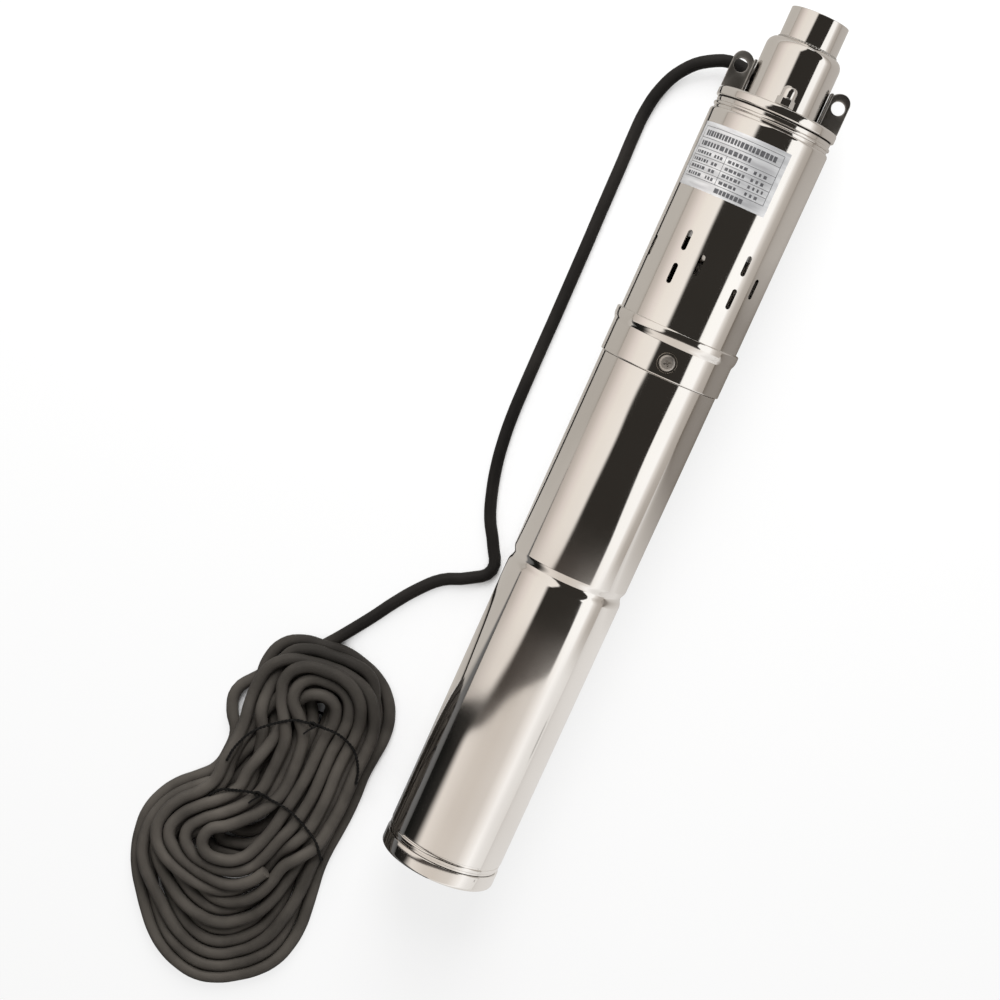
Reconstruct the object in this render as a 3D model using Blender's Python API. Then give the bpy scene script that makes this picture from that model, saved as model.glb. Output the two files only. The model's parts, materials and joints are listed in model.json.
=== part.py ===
"""Borehole submersible pump: a screw pump with its brushless motor, lying on its side with its cord.

The pump is modelled standing on its base cap, with its axis along Z and z = 0 at the
base. An empty then lays it down along +Y, outlet first. Azimuths are counted round the
pump axis from the side that faces up when the pump lies down, positive to the right
seen from above with the outlet pointing away.
"""
import bpy
import bmesh
from math import asin, cos, pi, radians, sin, sqrt
from mathutils import Matrix, Vector

MM = 0.001
FIT = 0.3 * MM                # gap between two pieces that touch on the real pump
SEGMENTS = 20                 # facets round a casing
INNER_SEGMENTS = 16           # facets round a small inner piece
NUT_SEGMENTS = 12             # facets round a cap nut, two for each side of its hexagon
SCREW_SEGMENTS = 14           # facets round the pump screw
LOBE_SEGMENTS = 10            # points round each end of the stator's cavity
EDGE = 0.6 * MM               # broken edge of a turned piece
OVERCUT = 1.0 * MM            # how far a cutter runs past the piece it cuts

# Casings, from the base cap up to the outlet rim
BODY_RADIUS = 37.5 * MM       # motor barrel, outside
MOTOR_WALL = 1.5 * MM
BARREL_BORE = BODY_RADIUS - MOTOR_WALL
PUMP_RADIUS = BODY_RADIUS + 0.5 * MM  # pump barrel, outside
PUMP_WALL = 1.5 * MM
PUMP_BORE = PUMP_RADIUS - PUMP_WALL
CAP_LENGTH = 10.9 * MM
CAP_PROUD = 0.3 * MM          # cap radius over the motor barrel
CAP_EDGE = 2.6 * MM
SEAM = 1.6 * MM               # open seam on each side of the base ring
SEAM_DEPTH = 1.0 * MM
BASE_RING_THICKNESS = 2.7 * MM
MOTOR_BARREL_LENGTH = 322.2 * MM
COLLAR_LENGTH = 28.1 * MM
BEAD_LENGTH = 6.9 * MM
BEAD_FLARE = 1.2 * MM         # length over which the band widens into the bead
BEAD_EDGE = 0.9 * MM
BEAD_RADIUS = PUMP_RADIUS + 2.0 * MM
BAND_RADIUS = PUMP_RADIUS + 0.7 * MM
PUMP_BARREL_IN_COLLAR = 5.4 * MM
PUMP_BARREL_LENGTH = 135.3 * MM
PUMP_BARREL_SHOULDER = 2.0 * MM
NECK_LENGTH = 7.0 * MM
NECK_DEPTH = 1.6 * MM
NECK_SPIGOT = 7.0 * MM        # neck ring inside the pump barrel
NECK_BEAD = 0.8 * MM          # radius of the bead in its groove
NECK_BEAD_HEIGHT = 2.4 * MM   # its middle over the pump barrel
NECK_CLEARANCE = 0.5 * MM     # round the stator sleeve
FLANGE_THICKNESS = 5.8 * MM
HEAD_HEIGHT = 39.6 * MM
OUTLET_LENGTH = 19.0 * MM

# Rolled groove that grips the lower bearing carrier
GROOVE_BELOW_BARREL_TOP = 136.2 * MM
GROOVE_WIDTH = 8.6 * MM
GROOVE_DEPTH = 1.7 * MM

# Head
FLANGE_RADIUS = PUMP_RADIUS
FLANGE_LEDGE = 14.5 * MM      # flange beyond the head's wall, where ears and nuts stand
HEAD_RADIUS = FLANGE_RADIUS - FLANGE_LEDGE
HEAD_WALL = 3.0 * MM
HEAD_SHOULDER = 6.0 * MM
HEAD_FOOT = 1.0 * MM          # fillet where the wall meets the flange
OUTLET_RADIUS = HEAD_RADIUS - 5.3 * MM
OUTLET_BORE = OUTLET_RADIUS - 3.0 * MM  # core of a 1 inch pipe thread
OUTLET_LIP = 0.8 * MM
SPIGOT_WALL = 1.8 * MM
SPIGOT_LENGTH = 5.0 * MM
FLANGE_EDGE = 1.8 * MM
GASKET = 1.0 * MM

# Lifting ears
EAR_THICKNESS = 3.0 * MM
EAR_TOP_RADIUS = 6.0 * MM
EAR_HEIGHT = 23.9 * MM        # over the flange
EAR_HOLE_RADIUS = 4.2 * MM
EAR_HOLE_HEIGHT = 15.1 * MM   # over the flange
EAR_TAB_THICKNESS = 1.8 * MM
EAR_TAB_WIDTH = 8.0 * MM
EAR_TAB_HEIGHT = 21.0 * MM
EAR_CORNER = 1.3 * MM         # clears the fillet at the head's foot

# Tie rods and their nuts
ROD_CIRCLE = PUMP_RADIUS - 7.0 * MM
ROD_RADIUS = 3.0 * MM
NUT_ACROSS_FLATS = 10.0 * MM
NUT_HEX_HEIGHT = 5.0 * MM
NUT_HEIGHT = 12.6 * MM
NUT_WALL = 2.0 * MM           # dome over the rod's end
NUT_CHAMFER = 0.4 * MM
ROD_AZIMUTHS = {"front": 0.0, "rear": 180.0}
SPACER_WALL = 1.2 * MM
ROD_GRIP = 8.0 * MM           # rod's thread in the motor's top cover

# Cord, its gland and the coiled hank
CORD_RADIUS = 4.0 * MM
GLAND_AZIMUTH = -150.0
GLAND_WALL = 1.6 * MM
GLAND_LIP = 1.2 * MM
GLAND_LIP_HEIGHT = 0.8 * MM
HANK_HEIGHT = 38.0 * MM
TIE_THICKNESS = 1.6 * MM
TIE_WIDTH = 2.4 * MM
TIE_STATIONS = {"hank_tie_upper": -260.0, "hank_tie_lower": -303.0}

# Inlet slots in the pump barrel
SLOT_LENGTH = 12.7 * MM
SLOT_WIDTH = 3.4 * MM
SLOT_ROW_PITCH = 10.5 * MM
SLOT_MIDDLE_BELOW_TOP = 0.66 * PUMP_BARREL_LENGTH
SLOT_GROUPS = 6
SLOT_AZIMUTH = -30.0
SLOT_STAGGER = 20.0

# Screws that hold the collar to the motor's top cover
SCREW_SHANK = 2.0 * MM
SCREW_HEAD_RADIUS = 4.7 * MM
SCREW_HEAD_HEIGHT = 1.7 * MM
SCREW_POCKET_RADIUS = 6.8 * MM
SCREW_SEAT = BAND_RADIUS - 0.9 * MM
SCREW_ABOVE_COLLAR_FOOT = 9.0 * MM
SCREW_DEPTH = 7.0 * MM
SCREW_AZIMUTHS = {"collar_screw_1": 0.0, "collar_screw_2": 120.0, "collar_screw_3": -120.0}

# Pumping element: a single-lobe steel screw in a two-lobe rubber stator
SLEEVE_RADIUS = ROD_CIRCLE - 7.0 * MM
SLEEVE_WALL = 2.0 * MM
SCREW_RADIUS = 0.375 * SLEEVE_RADIUS
ECCENTRICITY = 2.5 * MM
RUNNING_GAP = 0.8 * MM
COUPLING_ROOM = 51.3 * MM     # pump barrel left free for the coupling below the stator
STATOR_LENGTH = PUMP_BARREL_LENGTH - COUPLING_ROOM
SCREW_PITCH = STATOR_LENGTH / 2       # the stator is one pitch long, and its pitch is twice the screw's
SLEEVE_SEAT = 4.0 * MM        # depth of the sleeve's recess in the head
SCREW_OVERRUN = 4.0 * MM      # screw beyond the stator at the outlet end
SCREW_NECK = 5.0 * MM
SCREW_HUB_LENGTH = 10.0 * MM
TWIST_STEP = 30.0             # degrees of screw turn between two sections
SUPPORT_THICKNESS = 6.0 * MM
SUPPORT_LIP = 3.0 * MM
SUPPORT_SHELF = 5.0 * MM      # width of the ledge under the sleeve
SUPPORT_PORT = 3.4 * MM       # radius of the water ports
SUPPORT_PORTS = (45, 90, 135, -45, -90)

# Coupling rod with a ball at each end
BALL_RADIUS = 5.0 * MM
BALL_GAP = 0.5 * MM
ROD_STEM_RADIUS = 3.0 * MM
BALL_DISTANCE = 27.0 * MM
SOCKET_MOUTH = 3.0 * MM       # from the ball's centre to the socket's mouth
COUPLING_RADIUS = 10.5 * MM
COUPLING_FLOOR = 3.0 * MM
COUPLING_GRIP = 9.0 * MM

# Motor
SHAFT_RADIUS = 5.0 * MM
BEARING_RADIUS = 15.0 * MM
BEARING_WIDTH = 9.0 * MM
RACE_THICKNESS = 2.7 * MM
BALLS = 7
BALL_RING_BALL = 2.0 * MM
CAGE_RADIUS = 0.9 * MM
BELL_TOP_OVER_BARREL = 22.7 * MM
BELL_IN_BARREL = 19.5 * MM
BELL_RADIUS = BARREL_BORE + 0.2 * MM  # above the barrel, inside the collar
LEAD_DEPTH = 11.0 * MM        # cord's end in the motor's top cover
SEAL_RECESS = 21.0 * MM
SEAL_RADIUS = 13.0 * MM
SEAL_STEP = 3.0 * MM          # the turning face is this much smaller than the seat
SEAL_SEAT_HEIGHT = 6.0 * MM
SEAL_HEAD_HEIGHT = 6.5 * MM
SPRING_WIRE = 0.8 * MM
SPRING_TURNS = 3
SLINGER_RADIUS = 17.0 * MM
SLINGER_HEIGHT = 5.0 * MM
CORE_BORE = BARREL_BORE - 12.7 * MM
CORE_LENGTH = 60.0 * MM
CORE_SLOTS = 9
CORE_YOKE = 4.0 * MM
CORE_TIP = 1.5 * MM           # thickness of a tooth's tip at the slot's mouth
SLOT_MOUTH_HALF = 4.0         # degrees
SLOT_BODY_HALF = 12.0         # degrees
WINDING_HEIGHT = 15.0 * MM
WINDING_BULGE = 3.0 * MM
CORE_BELOW_BARREL_TOP = 44.0 * MM
MAGNET_THICKNESS = 3.0 * MM
AIR_GAP = 0.6 * MM
ROTOR_RADIUS = CORE_BORE - AIR_GAP - MAGNET_THICKNESS - FIT
ROTOR_OVERHANG = 2.0 * MM
CARRIER_THICKNESS = 20.0 * MM
BEARING_SHOULDER = 3.0 * MM   # over the upper bearing
SHAFT_CLEARANCE = 1.0 * MM    # round the shaft where it passes a cover
SHAFT_TAIL = 4.0 * MM         # shaft's end over the bearing carrier's underside

# Electronics under the motor
MODULE_WALL = 4.0 * MM
MODULE_WEB = 2.0 * MM
MODULE_TOP_GAP = 12.0 * MM
MODULE_FOOT_GAP = 28.0 * MM
BOARD_THICKNESS = 1.6 * MM
BOARD_WIDTH = 2 * (BARREL_BORE - 8.0 * MM)
BOARD_INSET = 4.0 * MM        # board shorter than its carrier, at each end
CAPACITOR_RADIUS = 9.0 * MM
CAPACITOR_LENGTH = 26.0 * MM
CAPACITOR_HEIGHT = 16.0 * MM  # over the carrier's foot
CAPACITOR_SIDE = 12.0 * MM    # each side of the board's middle

# Base
RING_SPIGOT = 18.0 * MM
RING_BORE = BARREL_BORE - 9.0 * MM
RING_FOOT = 4.0 * MM          # ring's lower end over the cap's floor
CAP_WALL = 2.0 * MM
CAP_FLOOR = 3.0 * MM
BREATHER_RADIUS = 2.5 * MM
DIAPHRAGM_RISE = 5.0 * MM
DIAPHRAGM_WALL = 2.0 * MM
O_RING_RADIUS = 1.3 * MM
O_RING_SQUEEZE = 0.5 * MM
JOINT_O_RING_DEPTH = 8.0 * MM  # below the barrel's upper end
BASE_O_RING_DEPTH = 6.0 * MM  # above its lower end

# Stations along the axis
CAP_TOP = CAP_LENGTH
RING_BOTTOM = CAP_TOP + SEAM
RING_TOP = RING_BOTTOM + BASE_RING_THICKNESS
BARREL_BOTTOM = RING_TOP + SEAM
BARREL_TOP = BARREL_BOTTOM + MOTOR_BARREL_LENGTH
COLLAR_BOTTOM = BARREL_TOP + FIT
COLLAR_TOP = COLLAR_BOTTOM + COLLAR_LENGTH
BEAD_BOTTOM = COLLAR_TOP - BEAD_LENGTH
PUMP_BARREL_BOTTOM = COLLAR_TOP - PUMP_BARREL_IN_COLLAR
PUMP_BARREL_TOP = PUMP_BARREL_BOTTOM + PUMP_BARREL_LENGTH
FLANGE_BOTTOM = PUMP_BARREL_TOP + FIT + NECK_LENGTH
FLANGE_TOP = FLANGE_BOTTOM + FLANGE_THICKNESS
HEAD_TOP = FLANGE_TOP + HEAD_HEIGHT
OUTLET_RIM = HEAD_TOP + OUTLET_LENGTH
GROOVE_MIDDLE = BARREL_TOP - GROOVE_BELOW_BARREL_TOP
CARRIER_BOTTOM = GROOVE_MIDDLE - CARRIER_THICKNESS / 2
MODULE_TOP = CARRIER_BOTTOM - MODULE_TOP_GAP
MODULE_BOTTOM = BARREL_BOTTOM + RING_SPIGOT + MODULE_FOOT_GAP
SLOT_MIDDLE = PUMP_BARREL_TOP - SLOT_MIDDLE_BELOW_TOP
STATOR_TOP = FLANGE_BOTTOM + SLEEVE_SEAT - FIT
STATOR_BOTTOM = STATOR_TOP - STATOR_LENGTH
BELL_TOP = BARREL_TOP + BELL_TOP_OVER_BARREL
BELL_BOTTOM = BARREL_TOP - BELL_IN_BARREL
ROD_TOP = FLANGE_TOP + NUT_HEIGHT - NUT_WALL - FIT
CORE_TOP = BARREL_TOP - CORE_BELOW_BARREL_TOP
CORE_BOTTOM = CORE_TOP - CORE_LENGTH
UPPER_BALL_Z = STATOR_BOTTOM - SCREW_NECK - SCREW_HUB_LENGTH + SOCKET_MOUTH
LOWER_BALL_Z = UPPER_BALL_Z - BALL_DISTANCE
COUPLING_BORE_TOP = LOWER_BALL_Z - BALL_RADIUS - BALL_GAP - COUPLING_FLOOR
AXIS_HEIGHT = BEAD_RADIUS

# Cord route on the ground, chosen by hand: x, y, z of its middle in the lying frame
CORD_ROUTE = [
    (-46.0, 240.5, 12.2), (-54.0, 235.5, 10.6), (-61.0, 229.0, 8.8), (-66.8, 220.0, 7.0),
    (-70.6, 209.5, 5.4), (-72.8, 198.0, 4.6), (-73.4, 184.0, 4.3), (-73.0, 160.0, 4.3),
    (-72.8, 135.0, 4.3), (-72.4, 110.0, 4.3), (-72.2, 84.0, 4.3), (-72.0, 58.0, 4.3),
    (-72.0, 32.0, 4.3), (-71.8, 6.0, 4.3), (-71.0, -17.0, 4.3), (-68.1, -39.8, 4.3),
    (-63.5, -59.0, 4.3), (-57.5, -75.5, 4.3), (-49.6, -89.0, 4.3), (-43.8, -98.5, 4.3),
    (-43.6, -107.5, 4.3), (-51.0, -114.2, 4.3), (-61.5, -118.6, 4.3), (-71.6, -125.3, 4.3),
    (-82.0, -136.6, 4.3), (-91.1, -149.2, 4.3), (-99.4, -162.4, 4.3), (-108.0, -175.5, 4.3),
    (-117.5, -188.2, 4.3), (-125.2, -199.9, 4.3),
]

# Outline of the hank, chosen by hand: x, y on the ground. The first and the last point span
# the short facet where the free cord arrives.
HANK_OUTLINE = [
    (-130.8, -197.2), (-143.0, -204.0), (-151.0, -217.0), (-160.0, -234.0), (-163.0, -250.0),
    (-155.0, -263.0), (-148.0, -274.0), (-149.0, -290.0), (-150.0, -309.0), (-164.0, -320.0),
    (-176.0, -334.0), (-179.0, -352.0), (-176.0, -380.0), (-161.0, -401.0), (-139.0, -424.0),
    (-122.0, -431.0), (-104.0, -433.0), (-88.0, -422.0), (-72.0, -406.0), (-64.0, -385.0),
    (-66.0, -361.0), (-71.0, -335.0), (-69.0, -310.0), (-69.0, -287.0), (-69.0, -267.0),
    (-65.0, -247.0), (-72.0, -221.0), (-88.0, -207.0), (-105.0, -205.6), (-120.2, -204.0),
]
HANK_TOP_SHARE = 0.9          # size of the hank's top face against its outline
HANK_CHAMFER = 8.0 * MM


def clear_scene():
    for thing in list(bpy.data.objects):
        bpy.data.objects.remove(thing, do_unlink=True)


def plain_material(name, color, roughness, metallic=1.0):
    """A Principled material with one colour."""
    material = bpy.data.materials.new(name)
    material.use_nodes = True
    shader = material.node_tree.nodes["Principled BSDF"]
    shader.inputs["Base Color"].default_value = (*color, 1.0)
    shader.inputs["Roughness"].default_value = roughness
    shader.inputs["Metallic"].default_value = metallic
    return material


def make_materials():
    return {
        "polished": plain_material("polished_stainless", (0.78, 0.75, 0.71), 0.10),
        "satin": plain_material("satin_stainless", (0.66, 0.65, 0.63), 0.28),
        "cast": plain_material("cast_aluminium", (0.60, 0.61, 0.62), 0.45),
        "rubber": plain_material("black_rubber", (0.03, 0.03, 0.03), 0.65, 0.0),
        "copper": plain_material("copper_winding", (0.62, 0.28, 0.12), 0.40),
        "lamination": plain_material("lamination_steel", (0.32, 0.32, 0.34), 0.45),
        "magnet": plain_material("sintered_magnet", (0.22, 0.22, 0.24), 0.35),
        "seal": plain_material("seal_carbon", (0.08, 0.08, 0.09), 0.30, 0.0),
        "board": plain_material("circuit_board", (0.03, 0.20, 0.09), 0.45, 0.0),
        "sleeve": plain_material("capacitor_sleeve", (0.03, 0.05, 0.12), 0.40, 0.0),
        "cord": plain_material("cord_rubber", (0.035, 0.034, 0.033), 0.60, 0.0),
        "tie": plain_material("tie_wire", (0.02, 0.02, 0.02), 0.50, 0.0),
    }


def pump_axis_empty():
    """The frame that lays the standing pump down along +Y, resting on its collar bead."""
    empty = bpy.data.objects.new("pump_axis", None)
    bpy.context.collection.objects.link(empty)
    empty.rotation_euler = (radians(-90), 0, 0)
    empty.location = (0, -OUTLET_RIM / 2, AXIS_HEIGHT)
    return empty


def around(radius, azimuth, z=0.0):
    """A point at a radius and an azimuth counted from the upper side."""
    turn = radians(azimuth)
    return Vector((radius * sin(turn), -radius * cos(turn), z))


def add_object(name, mesh_builder, material, parent, crease=35):
    """Turn a bmesh into a smooth-shaded object with one material."""
    bmesh.ops.remove_doubles(mesh_builder, verts=mesh_builder.verts, dist=1e-7)
    bmesh.ops.recalc_face_normals(mesh_builder, faces=mesh_builder.faces)
    mesh = bpy.data.meshes.new(name)
    mesh_builder.to_mesh(mesh)
    mesh_builder.free()
    mesh.shade_smooth()
    mesh.set_sharp_from_angle(angle=radians(crease))
    mesh.materials.append(material)
    thing = bpy.data.objects.new(name, mesh)
    bpy.context.collection.objects.link(thing)
    thing.parent = parent
    return thing


def arc(centre_radius, centre_z, radius, start, end, steps):
    """Points on an arc of a profile; angles in degrees from the outward direction."""
    points = []
    for step in range(steps + 1):
        angle = radians(start + (end - start) * step / steps)
        points.append((centre_radius + radius * cos(angle), centre_z + radius * sin(angle)))
    return points


def revolve(profile, segments=SEGMENTS, start=0.0):
    """Spin a profile of (radius, z) about Z; it closes on itself or ends on the axis."""
    shape = bmesh.new()
    turn = radians(start)
    verts = [shape.verts.new((r * cos(turn), r * sin(turn), z)) for r, z in profile]
    on_axis = profile[0][0] == 0 and profile[-1][0] == 0
    pairs = list(zip(verts, verts[1:]))
    if not on_axis:
        pairs.append((verts[-1], verts[0]))
    edges = [shape.edges.new(pair) for pair in pairs]
    bmesh.ops.spin(shape, geom=verts + edges, axis=(0, 0, 1), cent=(0, 0, 0),
                   angle=2 * pi, steps=segments, use_merge=True)
    bmesh.ops.remove_doubles(shape, verts=shape.verts, dist=1e-6)
    return shape


def loft(rings, closed=False):
    """Skin a run of rings with equal counts; open ends are capped, a single point is a pole."""
    shape = bmesh.new()
    loops = [[shape.verts.new(point) for point in ring] for ring in rings]
    pairs = list(zip(loops, loops[1:]))
    if closed:
        pairs.append((loops[-1], loops[0]))
    for lower, upper in pairs:
        count = max(len(lower), len(upper))
        for index in range(count):
            after = (index + 1) % count
            if len(lower) == 1:
                shape.faces.new((lower[0], upper[after], upper[index]))
            elif len(upper) == 1:
                shape.faces.new((lower[index], lower[after], upper[0]))
            else:
                shape.faces.new((lower[index], lower[after], upper[after], upper[index]))
    if not closed:
        for loop in (loops[0], loops[-1]):
            if len(loop) > 2:
                shape.faces.new(loop)
    return shape


def circle(radius, z, count, centre=(0.0, 0.0), phase=0.0):
    """A ring of points parallel to the ground plane of the standing pump."""
    ring = []
    for index in range(count):
        angle = phase + 2 * pi * index / count
        ring.append((centre[0] + radius * cos(angle), centre[1] + radius * sin(angle), z))
    return ring


def extrude_outline(outline, bottom, top):
    """Raise a flat outline of (x, y) from one height to another."""
    shape = bmesh.new()
    base = [shape.verts.new((x, y, bottom)) for x, y in outline]
    face = shape.faces.new(base)
    raised = bmesh.ops.extrude_face_region(shape, geom=[face])
    moved = [item for item in raised["geom"] if isinstance(item, bmesh.types.BMVert)]
    bmesh.ops.translate(shape, verts=moved, vec=(0, 0, top - bottom))
    return shape


def drill(radius, azimuth, circle_radius, bottom, top, segments=10):
    """A cylinder parallel to the axis, for a hole at an azimuth."""
    centre = around(circle_radius, azimuth)
    return loft([circle(radius, bottom, segments, centre), circle(radius, top, segments, centre)])


def merge(shapes):
    """Put several bmesh shapes that don't touch into one."""
    whole = bmesh.new()
    for shape in shapes:
        mesh = bpy.data.meshes.new("scrap")
        shape.to_mesh(mesh)
        shape.free()
        whole.from_mesh(mesh)
        bpy.data.meshes.remove(mesh)
    return whole


def combine(target, tool_shape, operation, name, parent):
    """Cut or join with a hidden tool by an exact Boolean."""
    bmesh.ops.recalc_face_normals(tool_shape, faces=tool_shape.faces)
    mesh = bpy.data.meshes.new(name)
    tool_shape.to_mesh(mesh)
    tool_shape.free()
    tool = bpy.data.objects.new(name, mesh)
    bpy.context.collection.objects.link(tool)
    tool.parent = parent
    tool.hide_render = True
    tool.display_type = "WIRE"
    modifier = target.modifiers.new(name, "BOOLEAN")
    modifier.operation = operation
    modifier.object = tool
    modifier.solver = "EXACT"


def outlet_head(axis, materials):
    """The pressed head with its flange; the flange carries the tie rods, ears and gland."""
    inner = HEAD_RADIUS - HEAD_WALL
    opening = OUTLET_BORE + SPIGOT_WALL + FIT
    seat = SLEEVE_RADIUS + FIT
    edge = FLANGE_EDGE
    seat_top = FLANGE_BOTTOM + SLEEVE_SEAT
    profile = [(opening, HEAD_TOP)]
    profile += arc(HEAD_RADIUS - HEAD_SHOULDER, HEAD_TOP - HEAD_SHOULDER, HEAD_SHOULDER, 84, 0, 4)
    profile += [(HEAD_RADIUS, FLANGE_TOP + HEAD_FOOT), (HEAD_RADIUS + HEAD_FOOT, FLANGE_TOP)]
    profile += arc(FLANGE_RADIUS - edge, FLANGE_TOP - edge, edge, 90, 0, 2)
    profile += arc(FLANGE_RADIUS - edge / 2, FLANGE_BOTTOM + edge / 2, edge / 2, 0, -90, 1)
    profile += [(seat, FLANGE_BOTTOM), (seat, seat_top), (inner, seat_top)]
    profile += arc(inner - HEAD_WALL, HEAD_TOP - 2 * HEAD_WALL, HEAD_WALL, 0, 60, 1)
    profile += [(opening, HEAD_TOP - HEAD_WALL)]
    head = add_object("outlet_head", revolve(profile), materials["polished"], axis)
    low, high = FLANGE_BOTTOM - OVERCUT, FLANGE_TOP + OVERCUT
    holes = [drill(ROD_RADIUS + FIT, turn, ROD_CIRCLE, low, high) for turn in ROD_AZIMUTHS.values()]
    holes.append(drill(CORD_RADIUS + GLAND_WALL + FIT, GLAND_AZIMUTH, ROD_CIRCLE, low, high))
    combine(head, merge(holes), "DIFFERENCE", "head_holes", axis)


def outlet_socket(axis, materials):
    """The threaded delivery socket, welded into the top of the head."""
    spigot = OUTLET_BORE + SPIGOT_WALL
    shoulder = HEAD_TOP + FIT
    lip = OUTLET_LIP
    profile = [
        (OUTLET_BORE, OUTLET_RIM - lip), (OUTLET_BORE + lip, OUTLET_RIM),
        (OUTLET_RADIUS - lip / 2, OUTLET_RIM), (OUTLET_RADIUS, OUTLET_RIM - lip / 2),
        (OUTLET_RADIUS, shoulder), (spigot, shoulder),
        (spigot, shoulder - SPIGOT_LENGTH), (OUTLET_BORE, shoulder - SPIGOT_LENGTH),
    ]
    add_object("outlet_socket", revolve(profile), materials["polished"], axis)


def lifting_ear(name, side, axis, materials):
    """An angle bracket: a plate with a rope hole, and a tab bent up along the head's wall."""
    inside = HEAD_RADIUS + FIT
    foot = FLANGE_TOP + FIT
    outside = FLANGE_RADIUS - FIT
    top_centre = FLANGE_TOP + EAR_HEIGHT - EAR_TOP_RADIUS
    middle = outside - EAR_TOP_RADIUS
    rise = EAR_CORNER
    outline = [(inside + rise, foot), (outside, foot)]
    outline += arc(middle, top_centre, EAR_TOP_RADIUS, 0, 180, 8)
    outline += [(inside, top_centre - EAR_TOP_RADIUS / 2), (inside, foot + rise)]
    plate = extrude_outline(outline, -EAR_THICKNESS / 2, EAR_THICKNESS / 2)
    # The outline was drawn in radius and height: stand it up and turn it to its side
    stand_up = Matrix(((side, 0, 0, 0), (0, 0, -1, 0), (0, 1, 0, 0), (0, 0, 0, 1)))
    bmesh.ops.transform(plate, matrix=stand_up, verts=plate.verts)
    ear = add_object(name, plate, materials["polished"], axis)
    tab_face = inside + EAR_TAB_THICKNESS
    tab = [(inside, -EAR_TAB_WIDTH), (tab_face, -EAR_TAB_WIDTH), (tab_face, 0.0), (inside, 0.0)]
    tab = [(side * r, y) for r, y in tab]
    leg = extrude_outline(tab, foot + rise, foot + EAR_TAB_HEIGHT)
    combine(ear, leg, "UNION", name + "_tab", axis)
    rings = []
    for y in (-EAR_THICKNESS, EAR_THICKNESS):
        points = circle(EAR_HOLE_RADIUS, y, INNER_SEGMENTS)
        rings.append([(side * middle + across, height, FLANGE_TOP + EAR_HOLE_HEIGHT + up)
                      for across, up, height in points])
    hole = loft(rings)
    combine(ear, hole, "DIFFERENCE", name + "_hole", axis)


def cap_nut(name, azimuth, axis, materials):
    """A domed hexagon nut with a blind bore over the rod's end."""
    centre = around(ROD_CIRCLE, azimuth)
    flat = NUT_ACROSS_FLATS / 2
    corner = flat / cos(radians(30))
    points = NUT_SEGMENTS
    low = FLANGE_TOP + FIT
    dome_radius = flat - NUT_CHAMFER
    dome_height = 0.85 * dome_radius
    bore = ROD_RADIUS + FIT

    def hexagon(z):
        ring = []
        for index in range(points):
            radius = corner if index % 2 == 0 else flat
            angle = pi / 6 + 2 * pi * index / points
            ring.append((centre.x + radius * cos(angle), centre.y + radius * sin(angle), z))
        return ring

    def ring(radius, z):
        return circle(radius, z, points, centre, pi / 6)

    base = FLANGE_TOP + NUT_HEX_HEIGHT
    top = FLANGE_TOP + NUT_HEIGHT
    sections = [ring(bore, low), ring(flat, low), hexagon(low + NUT_CHAMFER), hexagon(base - EDGE),
                ring(flat, base), ring(dome_radius, base), ring(dome_radius, top - dome_height)]
    for angle in (30, 60):
        height = top - dome_height + dome_height * sin(radians(angle))
        sections.append(ring(dome_radius * cos(radians(angle)), height))
    sections += [[(centre.x, centre.y, top)]]
    shape = loft(sections)
    # The blind bore goes back down from the first ring to a point under the dome
    shape.faces.remove([face for face in shape.faces if len(face.verts) == points][0])
    shape.verts.ensure_lookup_table()
    mouth = list(shape.verts)[:points]
    roof = [shape.verts.new((v.co.x, v.co.y, ROD_TOP + FIT)) for v in mouth]
    for index in range(points):
        after = (index + 1) % points
        shape.faces.new((mouth[index], mouth[after], roof[after], roof[index]))
    shape.faces.new(roof)
    add_object(name, shape, materials["polished"], axis, crease=25)


def tie_rods(axis, materials):
    """Rods that clamp head, neck, barrel and stator support down to the motor's top cover."""
    support_bottom = STATOR_BOTTOM - FIT - SUPPORT_THICKNESS + SUPPORT_LIP
    for side, azimuth in ROD_AZIMUTHS.items():
        cap_nut("cap_nut_" + side, azimuth, axis, materials)
        rod = drill(ROD_RADIUS, azimuth, ROD_CIRCLE, BELL_TOP - ROD_GRIP, ROD_TOP)
        add_object("tie_rod_" + side, rod, materials["satin"], axis)
        centre = around(ROD_CIRCLE, azimuth)
        low, high = BELL_TOP + FIT, support_bottom - FIT
        inner, outer = ROD_RADIUS + FIT, ROD_RADIUS + FIT + SPACER_WALL
        rings = [circle(inner, low, 10, centre), circle(outer, low, 10, centre),
                 circle(outer, high, 10, centre), circle(inner, high, 10, centre)]
        add_object("rod_spacer_" + side, loft(rings, closed=True), materials["satin"], axis)


def cable_gland(axis, materials):
    """A rubber grommet in the flange, with a lip above."""
    bore = CORD_RADIUS + FIT
    body = CORD_RADIUS + GLAND_WALL
    lip = body + GLAND_LIP
    centre = around(ROD_CIRCLE, GLAND_AZIMUTH)
    top = FLANGE_TOP + FIT + GLAND_LIP_HEIGHT
    rings = [circle(bore, FLANGE_BOTTOM + FIT, 12, centre), circle(body, FLANGE_BOTTOM + FIT, 12, centre),
             circle(body, FLANGE_TOP + FIT, 12, centre), circle(lip, FLANGE_TOP + FIT, 12, centre),
             circle(lip - GLAND_LIP_HEIGHT / 2, top, 12, centre), circle(bore, top, 12, centre)]
    add_object("cable_gland", loft(rings, closed=True), materials["rubber"], axis)


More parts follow.
